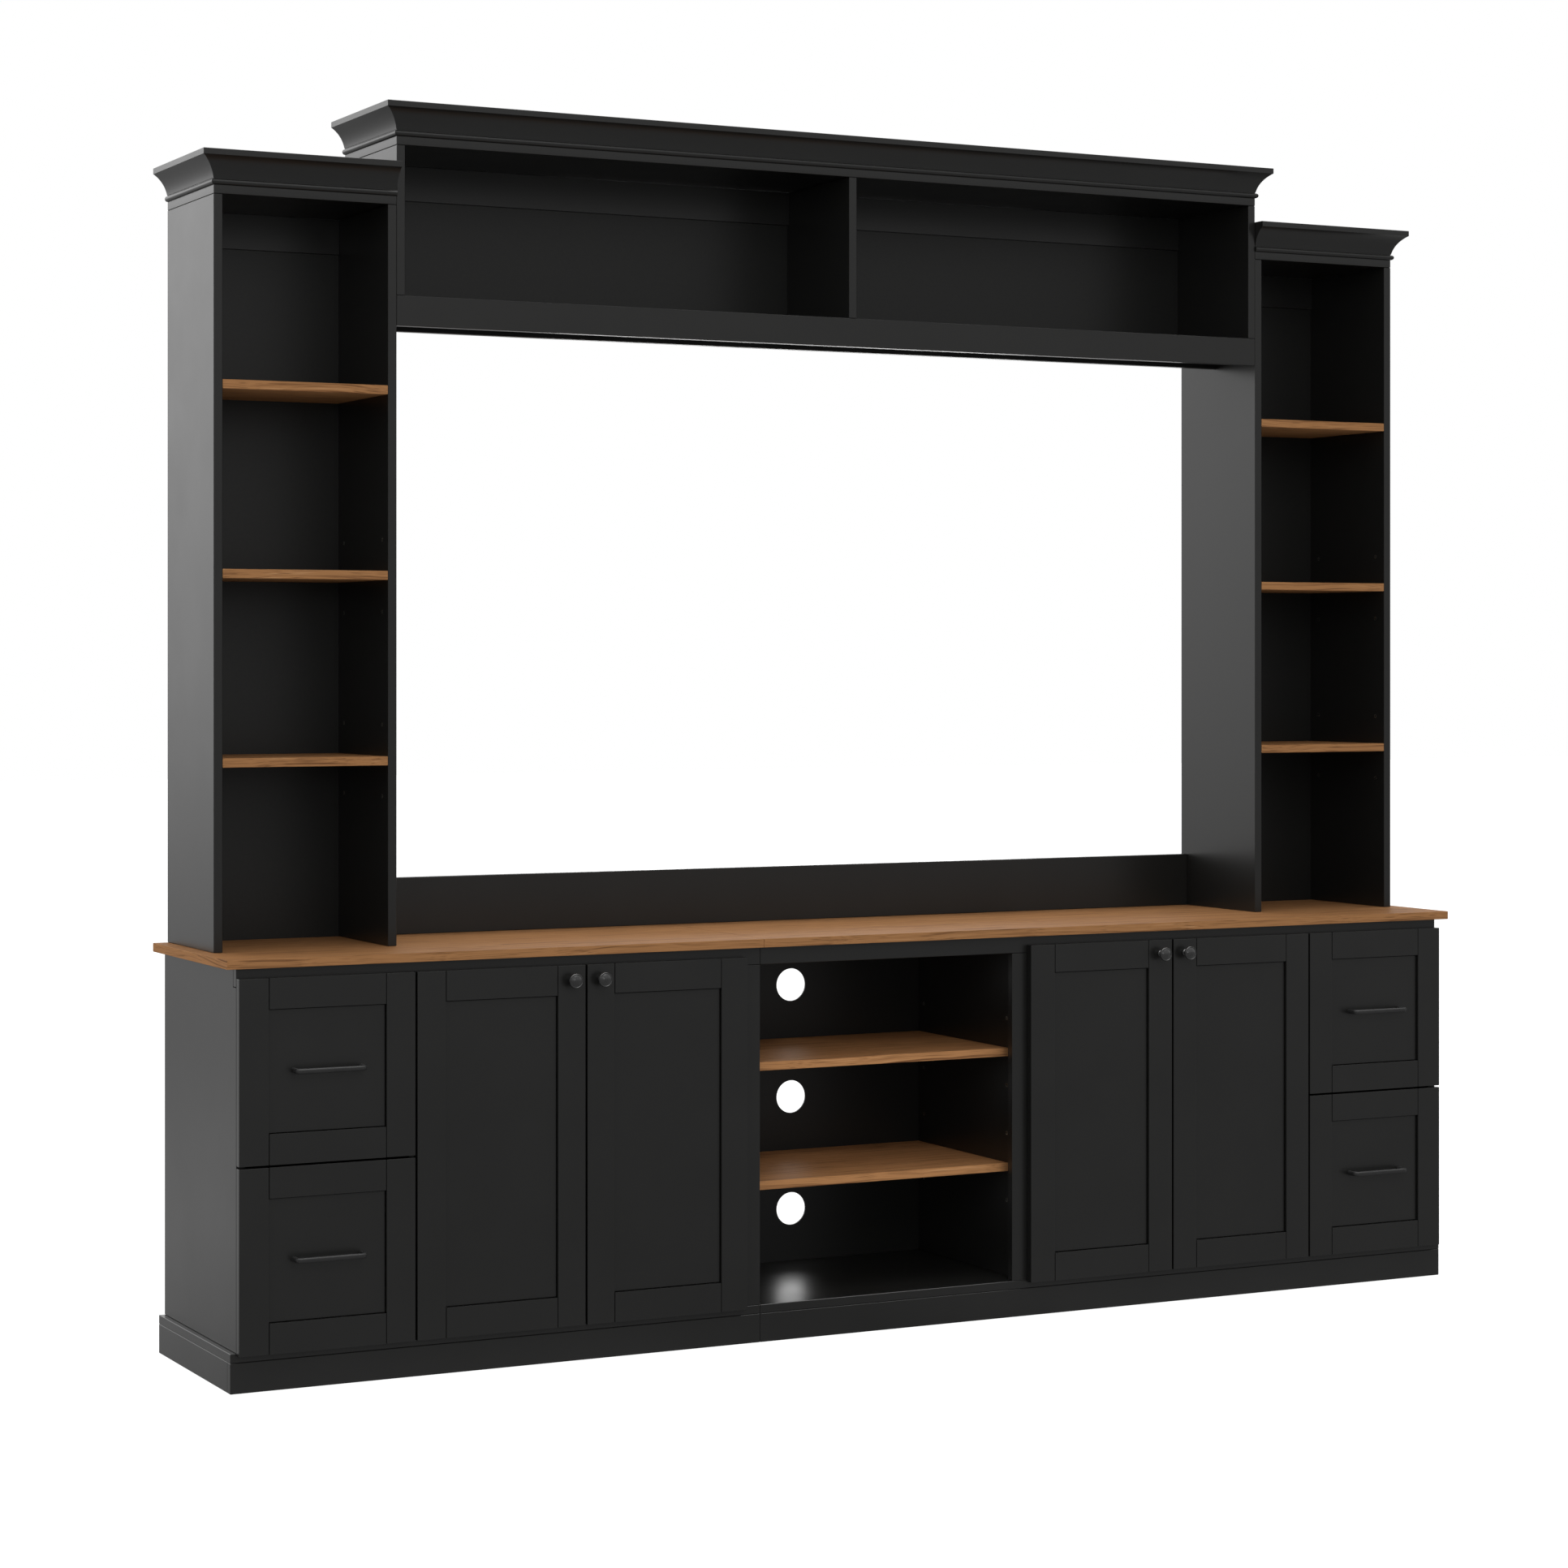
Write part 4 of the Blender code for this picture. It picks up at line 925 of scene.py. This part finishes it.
class CENTRE_OT_drawer_boxes(bpy.types.Operator):
    """Build the four drawer boxes with their sliding runners"""
    bl_idname = "centre.drawer_boxes"
    bl_label = "Drawer boxes"

    def execute(self, context):
        inner = DIVIDER_X + BOARD / 2 + RUNNER_SPACE
        outer = HALF - BOARD - RUNNER_SPACE
        between = (inner + BOX_SIDE + SLACK / 2, outer - BOX_SIDE - SLACK / 2)
        arris = context.scene.centre_fronts.arris
        runner_y = (CARCASS_Y + RUNNER_SETBACK, DRAWER_REAR_Y - RUNNER_SETBACK)
        for node in drawer_names("_box"):
            side = LEFT if node.startswith("left") else RIGHT
            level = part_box(node.replace("_box", "_front"))[0].z
            z = (level + BOX_RAISE, level + BOX_RAISE + BOX_HEIGHT)
            y = (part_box(node)[0].y, DRAWER_REAR_Y)
            bm = bmesh.new()
            add_side_board(bm, side, inner, inner + BOX_SIDE, y, z, arris)
            add_side_board(bm, side, outer - BOX_SIDE, outer, y, z, arris)
            add_side_board(bm, side, *between, (y[0], y[0] + BOX_SIDE), z, arris)
            add_side_board(bm, side, *between, (y[1] - BOX_SIDE, y[1]), z, arris)
            place_piece(bm, node + "_boards", FOIL, node)
            bottom = bmesh.new()
            bottom_z = z[0] + BOX_BOTTOM_RAISE
            add_side_board(bottom, side, *between,
                           (y[0] + BOX_SIDE + SLACK / 2, y[1] - BOX_SIDE - SLACK / 2),
                           (bottom_z, bottom_z + BOX_BOTTOM), 0)
            place_piece(bottom, node + "_bottom", HARDBOARD, node)
            steel = bmesh.new()
            rollers = bmesh.new()
            axle_z = runner_base(level) + AXLE_RISE
            top = axle_z + AXLE_RISE
            for face, into in ((inner, -1), (outer, 1)):
                add_angle(steel, side, face, into, runner_y, top, top - SLIDE_WEB)
                add_roller(rollers, steel, side, face, into, runner_y[1] - ROLLER_END, axle_z)
            place_piece(steel, node + "_runners", STEEL, node)
            place_piece(rollers, node + "_rollers", NYLON, node)
        return {'FINISHED'}


# Shelf pin sleeves

def add_sleeve(bm, place, away):
    """A pressed steel sleeve in a shelf pin hole."""
    foot = SLEEVE_RIM * 0.1
    profile = [(SLEEVE_BORE, -SLEEVE_DEPTH), (SLEEVE_BORE, SLEEVE_RIM * 0.6),
               (SLEEVE_BORE + SLEEVE_RIM, SLEEVE_RIM), (SLEEVE_FLANGE - SLEEVE_RIM, SLEEVE_RIM),
               (SLEEVE_FLANGE, SLEEVE_RIM / 2), (SLEEVE_FLANGE, foot), (PIN_HOLE_RADIUS - SLACK, foot),
               (PIN_HOLE_RADIUS - SLACK, -SLEEVE_DEPTH)]
    add_loft(bm, turned_rings(place, away, profile + profile[:1], 20), close_ends=False)
    bmesh.ops.remove_doubles(bm, verts=bm.verts[:], dist=SLACK / 100)


class CENTRE_OT_sleeves(bpy.types.Operator):
    """Press the steel sleeves into the spare shelf pin holes"""
    bl_idname = "centre.sleeves"
    bl_label = "Pin sleeves"

    def execute(self, context):
        for side, name in SIDES:
            bay = bmesh.new()
            for y, z in bay_pins((-1, 1)):
                add_sleeve(bay, (side * WALL_IN, y, z), (-side, 0, 0))
            tower = bmesh.new()
            outer = reach(name + "_tower_outer_panel")[0]
            inner = reach(name + "_tower_inner_panel")[1]
            for y in (TOWER_Y + TOWER_PIN_FRONT, BACK_FACE_Y - TOWER_PIN_REAR):
                for number in ("1", "2"):
                    for step in (-PIN_STEP, PIN_STEP):
                        z = shelf_height(name + "_tower_shelf_" + number) + step
                        add_sleeve(tower, (side * outer, y, z), (-side, 0, 0))
                        add_sleeve(tower, (side * inner, y, z), (side, 0, 0))
            for bm, place in ((bay, "_bay"), (tower, "_tower")):
                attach(finished(bm, name + place + "_pin_sleeves", STEEL), "root")
        return {'FINISHED'}


# Crown mouldings

def crown_profile(arris):
    """Outline of the moulding, as (outwards, upwards) from the top board's upper front edge."""
    points = [(-CROWN_BODY, 0), (0, 0)]
    for i in range(1, BEAD_STEPS):
        a = pi * i / BEAD_STEPS
        points.append((BEAD_RADIUS * sin(a), BEAD_RADIUS * (1 - cos(a))))
    foot = 2 * BEAD_RADIUS + QUIRK_HEIGHT
    points += [(0, 2 * BEAD_RADIUS), (0, foot)]
    run = CROWN_PROJECTION - QUIRK_DEPTH
    rise = CROWN_HEIGHT - FASCIA_HEIGHT - foot
    low, high = (radians(lean) for lean in COVE_LEAN)
    for i in range(COVE_STEPS + 1):
        a = low + (high - low) * i / COVE_STEPS
        out = (cos(low) - cos(a)) / (cos(low) - cos(high))
        up = (sin(a) - sin(low)) / (sin(high) - sin(low))
        points.append((QUIRK_DEPTH + run * out, foot + rise * up))
    for i in range(ARRIS_STEPS + 1):
        a = pi / 2 * i / ARRIS_STEPS
        points.append((CROWN_PROJECTION - arris * (1 - cos(a)), CROWN_HEIGHT - arris * (1 - sin(a))))
    points += [(arris - CROWN_BODY, CROWN_HEIGHT), (-CROWN_BODY, CROWN_HEIGHT - arris)]
    return points


def make_cornice(node, stations):
    """A top board and the moulding round its open edges. A station is a place and its way outwards."""
    low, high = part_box(node)
    arris = bpy.context.scene.centre_fronts.arris
    xs = [x for (x, _), _ in stations]
    board_top = low.z - SLACK + BOARD
    bm = bmesh.new()
    add_board(bm, (min(xs), TOWER_Y, low.z), (max(xs), BACK_Y, board_top), arris)
    place_piece(bm, node + "_board", CHARCOAL, node)
    crown = bmesh.new()
    rings = []
    for (x, y), (step_x, step_y) in stations:
        rings.append([(x + step_x * p, y + step_y * p, board_top - SLACK + h)
                      for p, h in crown_profile(arris)])
    add_loft(crown, rings)
    place_piece(crown, node + "_moulding", CHARCOAL, node, angle=28)


class CENTRE_OT_crowns(bpy.types.Operator):
    """Mitre the crown mouldings round the top boards"""
    bl_idname = "centre.crowns"
    bl_label = "Crown mouldings"

    def execute(self, context):
        for side, name in SIDES:
            inner = reach(name + "_tower_inner_panel")[0]
            outer = reach(name + "_tower_outer_panel")[1]
            make_cornice(name + "_tower_cornice", (((side * inner, TOWER_Y), (0, -1)),
                                                   ((side * outer, TOWER_Y), (side, -1)),
                                                   ((side * outer, BACK_Y), (side, 0))))
        make_cornice("bridge_cornice", (((-inner, BACK_Y), (-1, 0)), ((-inner, TOWER_Y), (-1, -1)),
                                        ((inner, TOWER_Y), (1, -1)), ((inner, BACK_Y), (1, 0))))
        return {'FINISHED'}


# Boards that keep their CAD shape

CHARCOAL_NODES = [name + part for _, name in SIDES
                  for part in ("_plinth", "_floor", "_top_rail", "_tower_outer_panel", "_tower_inner_panel")]
CHARCOAL_NODES += ["bridge_floor", "bridge_apron", "bridge_left_panel", "bridge_right_panel",
                   "bridge_partition", "backsplash"]
WALNUT_NODES = [name + part for _, name in SIDES
                for part in ("_countertop", "_tower_shelf_1", "_tower_shelf_2", "_tower_shelf_3")]


class CENTRE_OT_boards(bpy.types.Operator):
    """Face the plain boards with charcoal melamine"""
    bl_idname = "centre.boards"
    bl_label = "Charcoal boards"

    def execute(self, context):
        dress(CHARCOAL_NODES, CHARCOAL)
        return {'FINISHED'}


def make_hung_back(node, stand):
    """A thin back that stands on a board, with its upper edge in a groove of the hanging rail."""
    low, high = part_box(node)
    rail_bottom = high.z - HANGING_RAIL_HEIGHT
    sheet_top = rail_bottom + BOARD / 2
    sheet = bmesh.new()
    add_board(sheet, (low.x, BACK_FACE_Y, stand + BACK_FOOT_GAP),
              (high.x, BACK_FACE_Y + BACK_THICKNESS, sheet_top), BACK_ARRIS)
    place_piece(sheet, node + "_sheet", HARDBOARD, node)
    rail = bmesh.new()
    add_board(rail, (low.x + GROOVE_DEPTH, BACK_Y - BOARD, rail_bottom),
              (high.x - GROOVE_DEPTH, BACK_Y, high.z), bpy.context.scene.centre_fronts.joint)
    groove = bmesh.new()
    add_board(groove, (low.x, BACK_FACE_Y - SLACK, rail_bottom - OVERRUN),
              (high.x, BACK_FACE_Y + BACK_THICKNESS + SLACK, sheet_top + SLACK), 0)
    place_piece(rail, node + "_rail", CHARCOAL, node, cutter=groove)


class CENTRE_OT_backs(bpy.types.Operator):
    """Stand up the thin backs, bore the base's cable holes and build the hanging rails"""
    bl_idname = "centre.backs"
    bl_label = "Backs"

    def execute(self, context):
        floor_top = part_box("left_floor")[1].z
        for _, name in SIDES:
            node = name + "_base_back"
            low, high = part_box(node)
            bm = bmesh.new()
            add_board(bm, (low.x, low.y, floor_top + BACK_FOOT_GAP), high, BACK_ARRIS)
            holes = bmesh.new()
            for share in CABLE_HOLE_SHARES if name == "right" else ():
                z = floor_top + share * (UPRIGHT_Z[1] - floor_top)
                add_rod(holes, (0, low.y, z), 'Y', CABLE_HOLE_RADIUS, 2 * (BACK_THICKNESS + OVERRUN),
                        sides=72)
            place_piece(bm, node + "_sheet", HARDBOARD, node, cutter=holes)
            make_hung_back(name + "_tower_back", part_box(name + "_countertop")[1].z)
        make_hung_back("bridge_back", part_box("bridge_floor")[1].z)
        return {'FINISHED'}


class CENTRE_OT_walnut(bpy.types.Operator):
    """Face the tops and shelves with walnut laminate"""
    bl_idname = "centre.walnut"
    bl_label = "Walnut boards"

    def execute(self, context):
        dress(WALNUT_NODES, "melamine_walnut")
        dress(BAY_SHELVES, "melamine_walnut_pale")
        return {'FINISHED'}


# Stage

FLOOR_SIZE = 60.0
LENS = 80.32                            # millimetres
SENSOR_WIDTH = 36.0                     # millimetres
CLIP_END = 200.0
CAMERA_PLACE = (-3.12549, -5.84598, 1.23317)
CAMERA_TURN = -27.18                    # degrees about the vertical
CAMERA_SHIFT = -0.07763
GLOW_WAY = (-0.388, 0.916, 0.1)         # towards the brightest part of the backdrop
WHITE = (*linear("#FFFFFF"), 1.0)
SEEN_LEVEL = 0.88                       # of the floor for the eye, before its diffuse part is added
BOUNCE_LEVEL = 0.27                     # of the light that the floor gives the unit
PAINTED_SHADE_SPREAD = 0.514                    # how fast the unit's painted shadow on the floor widens behind it
MIDDLE = (0, 0, 1.1)                    # of the unit, which the lamps face
LAMPS = (                               # name, place, target, size, and the setting of its power
    ("key_lamp", (-0.8, -5.5, 3.6), MIDDLE, 2.6, "key_power"),
    ("spark_lamp_1", (-1.5, -6.5, 2.0), MIDDLE, 0.8, "spark_power"),
    ("spark_lamp_2", (-4.2, -4.0, 4.6), MIDDLE, 0.8, "spark_power"),
    ("top_lamp", (-0.3, -2.2, 4.6), MIDDLE, 3.0, "top_power"),
    ("rear_lamp", (1.9, 3.9, 1.9), (0, 0, 0.3), 1.5, "rear_power"),
)


def white_room(level, glow):
    """The world: white to the eye, an even light for the object, and a backdrop that gloss can show."""
    world = bpy.data.worlds.new("white_room")
    world.use_nodes = True
    tree = world.node_tree
    tree.nodes.clear()
    way = add(tree, "TexCoord").outputs["Generated"]
    split = add(tree, "SeparateXYZ", way).outputs
    rise = add(tree, "MapRange", split["Z"], From_Max=0.2, To_Min=1.0, To_Max=2.0)
    depth = add(tree, "MapRange", split["Y"], From_Min=-0.4, From_Max=0.5, To_Min=0.33, To_Max=0.66)
    backdrop = add(tree, "Math", rise, depth, operation='MULTIPLY')
    toward = add(tree, "VectorMath", way, GLOW_WAY, operation='DOT_PRODUCT').outputs["Value"]
    spot = add(tree, "MapRange", toward, From_Min=0.955, From_Max=0.995, To_Min=1.0, To_Max=glow)
    overhead = add(tree, "MapRange", split["Z"], From_Min=0.7, From_Max=0.9, To_Min=1.0, To_Max=5.0)
    above = add(tree, "Math", backdrop, overhead, operation='MULTIPLY')
    glossy = add(tree, "Math", above, spot, operation='MULTIPLY')
    even = add(tree, "MapRange", split["Y"], From_Min=-0.6, From_Max=0.6,
               To_Min=level * 0.78, To_Max=level * 2.1)
    fade = add(tree, "MapRange", split["Z"], To_Min=1.06, To_Max=0.6)
    ambient = add(tree, "Math", even, fade, operation='MULTIPLY')
    ray = add(tree, "LightPath").outputs
    seen = add(tree, "Math", ray["Is Camera Ray"], ray["Is Transmission Ray"], operation='MAXIMUM')
    for_gloss = add(tree, "Mix", Factor_Float=ray["Is Glossy Ray"], A_Float=ambient, B_Float=glossy)
    strength = add(tree, "Mix", Factor_Float=seen, A_Float=for_gloss, B_Float=1.0)
    add(tree, "OutputWorld", add(tree, "Background", WHITE, strength))
    return world


def white_floor():
    """White vinyl sweep, which glows for the eye and keeps a trace of the object's shadow.

    In gloss it shows painted light and a painted shadow: dim in front, brighter behind and in the distance,
    and dimmer where the unit would shade it. For diffuse rays it glows a little, a painted bounce light on
    the unit.
    """
    material, tree, shader = new_material("vinyl_white_sweep")
    ray = add(tree, "LightPath").outputs
    seen = add(tree, "Math", ray["Is Camera Ray"], ray["Is Transmission Ray"], operation='MAXIMUM')
    seen_part = add(tree, "Math", seen, SEEN_LEVEL, operation='MULTIPLY')
    glow = add(tree, "Math", ray["Is Diffuse Ray"], BOUNCE_LEVEL, seen_part, operation='MULTIPLY_ADD')
    wire(shader, Base_Color=(*linear("#999999"), 1.0), Roughness=1.0, Specular_IOR_Level=0.0,
         Emission_Color=WHITE, Emission_Strength=glow)
    place = add(tree, "SeparateXYZ", add(tree, "NewGeometry").outputs["Position"]).outputs
    # Painted light for gloss rays: brighter behind and in the distance, then a painted shadow of the unit on
    # the floor
    behind = add(tree, "MapRange", place["Y"], From_Min=-0.5, From_Max=1.5, To_Min=0.32, To_Max=0.6)
    far = add(tree, "MapRange", place["Y"], From_Min=7.0, From_Max=16.0, To_Min=1.0, To_Max=1.9)
    painted_floor_glow = add(tree, "Math", behind, far, operation='MULTIPLY')
    sideways = add(tree, "Math", place["X"], operation='ABSOLUTE')
    spread = add(tree, "Math", place["Y"], PAINTED_SHADE_SPREAD, operation='MULTIPLY')
    painted_shadow_reach = add(tree, "Math", spread, sideways, operation='SUBTRACT')
    painted_unit_shadow = add(tree, "MapRange", painted_shadow_reach, From_Min=-0.6, From_Max=0.2, To_Min=1.0, To_Max=0.5)
    painted_gloss_level = add(tree, "Math", painted_floor_glow, painted_unit_shadow, operation='MULTIPLY')
    in_gloss = add(tree, "Emission", Strength=painted_gloss_level)
    look = add(tree, "MixShader", ray["Is Glossy Ray"], shader, in_gloss)
    connect(tree.nodes["Material Output"].inputs["Surface"], look)
    return material


def soft_lamp(name, place, target, size, power):
    """A square softbox that faces a point."""
    lamp = bpy.data.lights.new(name, 'AREA')
    lamp.shape = 'SQUARE'
    lamp.size = size
    lamp.energy = power
    obj = bpy.data.objects.new(name, lamp)
    obj.location = place
    obj.rotation_euler = (Vector(target) - Vector(place)).to_track_quat('-Z', 'Y').to_euler()
    obj.visible_camera = False
    bpy.context.scene.collection.objects.link(obj)
    return obj


class CENTRE_OT_stage(bpy.types.Operator):
    """Set the white floor, the room, the lamps and the camera"""
    bl_idname = "centre.stage"
    bl_label = "Stage"

    def execute(self, context):
        levels = context.scene.centre_stage
        bm = bmesh.new()
        bmesh.ops.create_grid(bm, x_segments=1, y_segments=1, size=FLOOR_SIZE / 2)
        floor = mesh_object(bm, "floor")
        floor.data.materials.append(white_floor())
        context.scene.world = white_room(levels.room_level, levels.glow)
        for name, place, target, size, power in LAMPS:
            lamp = soft_lamp(name, place, target, size, getattr(levels, power))
            lamp.visible_glossy = power != "key_power"
            lamp.visible_diffuse = power != "spark_power"
        camera = bpy.data.cameras.new("camera")
        camera.lens = LENS
        camera.sensor_width = SENSOR_WIDTH
        camera.shift_y = CAMERA_SHIFT
        camera.clip_end = CLIP_END
        viewpoint = bpy.data.objects.new("camera", camera)
        viewpoint.location = CAMERA_PLACE
        viewpoint.rotation_euler = (pi / 2, 0, radians(CAMERA_TURN))
        context.scene.collection.objects.link(viewpoint)
        context.scene.camera = viewpoint
        context.scene.view_settings.view_transform = 'Standard'
        return {'FINISHED'}


class CENTRE_PT_panel(bpy.types.Panel):
    """Lists the steps that dress the centre"""
    bl_idname = "CENTRE_PT_panel"
    bl_label = "Entertainment Centre"
    bl_space_type = 'VIEW_3D'
    bl_region_type = 'UI'
    bl_category = "Centre"

    def draw(self, context):
        layout = self.layout
        for group in (context.scene.centre_finish, context.scene.centre_fronts, context.scene.centre_stage):
            for name in group.__annotations__:
                layout.prop(group, name)
        for step in STEPS:
            layout.operator(step.bl_idname)


STEPS = (CENTRE_OT_boards, CENTRE_OT_backs, CENTRE_OT_walnut, CENTRE_OT_doors, CENTRE_OT_drawer_fronts,
         CENTRE_OT_knobs, CENTRE_OT_pulls, CENTRE_OT_uprights, CENTRE_OT_drawer_boxes, CENTRE_OT_sleeves,
         CENTRE_OT_crowns, CENTRE_OT_stage)
SETTINGS = (("centre_finish", FinishSettings), ("centre_fronts", FrontSettings),
            ("centre_stage", StageSettings))


def register():
    """Make the settings, the steps and the panel known to Blender."""
    for name, group in SETTINGS:
        bpy.utils.register_class(group)
        setattr(bpy.types.Scene, name, bpy.props.PointerProperty(type=group))
    for step in STEPS:
        bpy.utils.register_class(step)
    bpy.utils.register_class(CENTRE_PT_panel)


def unregister():
    """Take them away again."""
    bpy.utils.unregister_class(CENTRE_PT_panel)
    for step in reversed(STEPS):
        bpy.utils.unregister_class(step)
    for name, group in reversed(SETTINGS):
        delattr(bpy.types.Scene, name)
        bpy.utils.unregister_class(group)


def main():
    """Dress the centre from end to end."""
    register()
    bpy.ops.centre.boards()
    bpy.ops.centre.backs()
    bpy.ops.centre.walnut()
    bpy.ops.centre.doors()
    bpy.ops.centre.drawer_fronts()
    bpy.ops.centre.knobs()
    bpy.ops.centre.pulls()
    bpy.ops.centre.uprights()
    bpy.ops.centre.drawer_boxes()
    bpy.ops.centre.sleeves()
    bpy.ops.centre.crowns()
    bpy.ops.centre.stage()


if __name__ == "__main__":
    main()
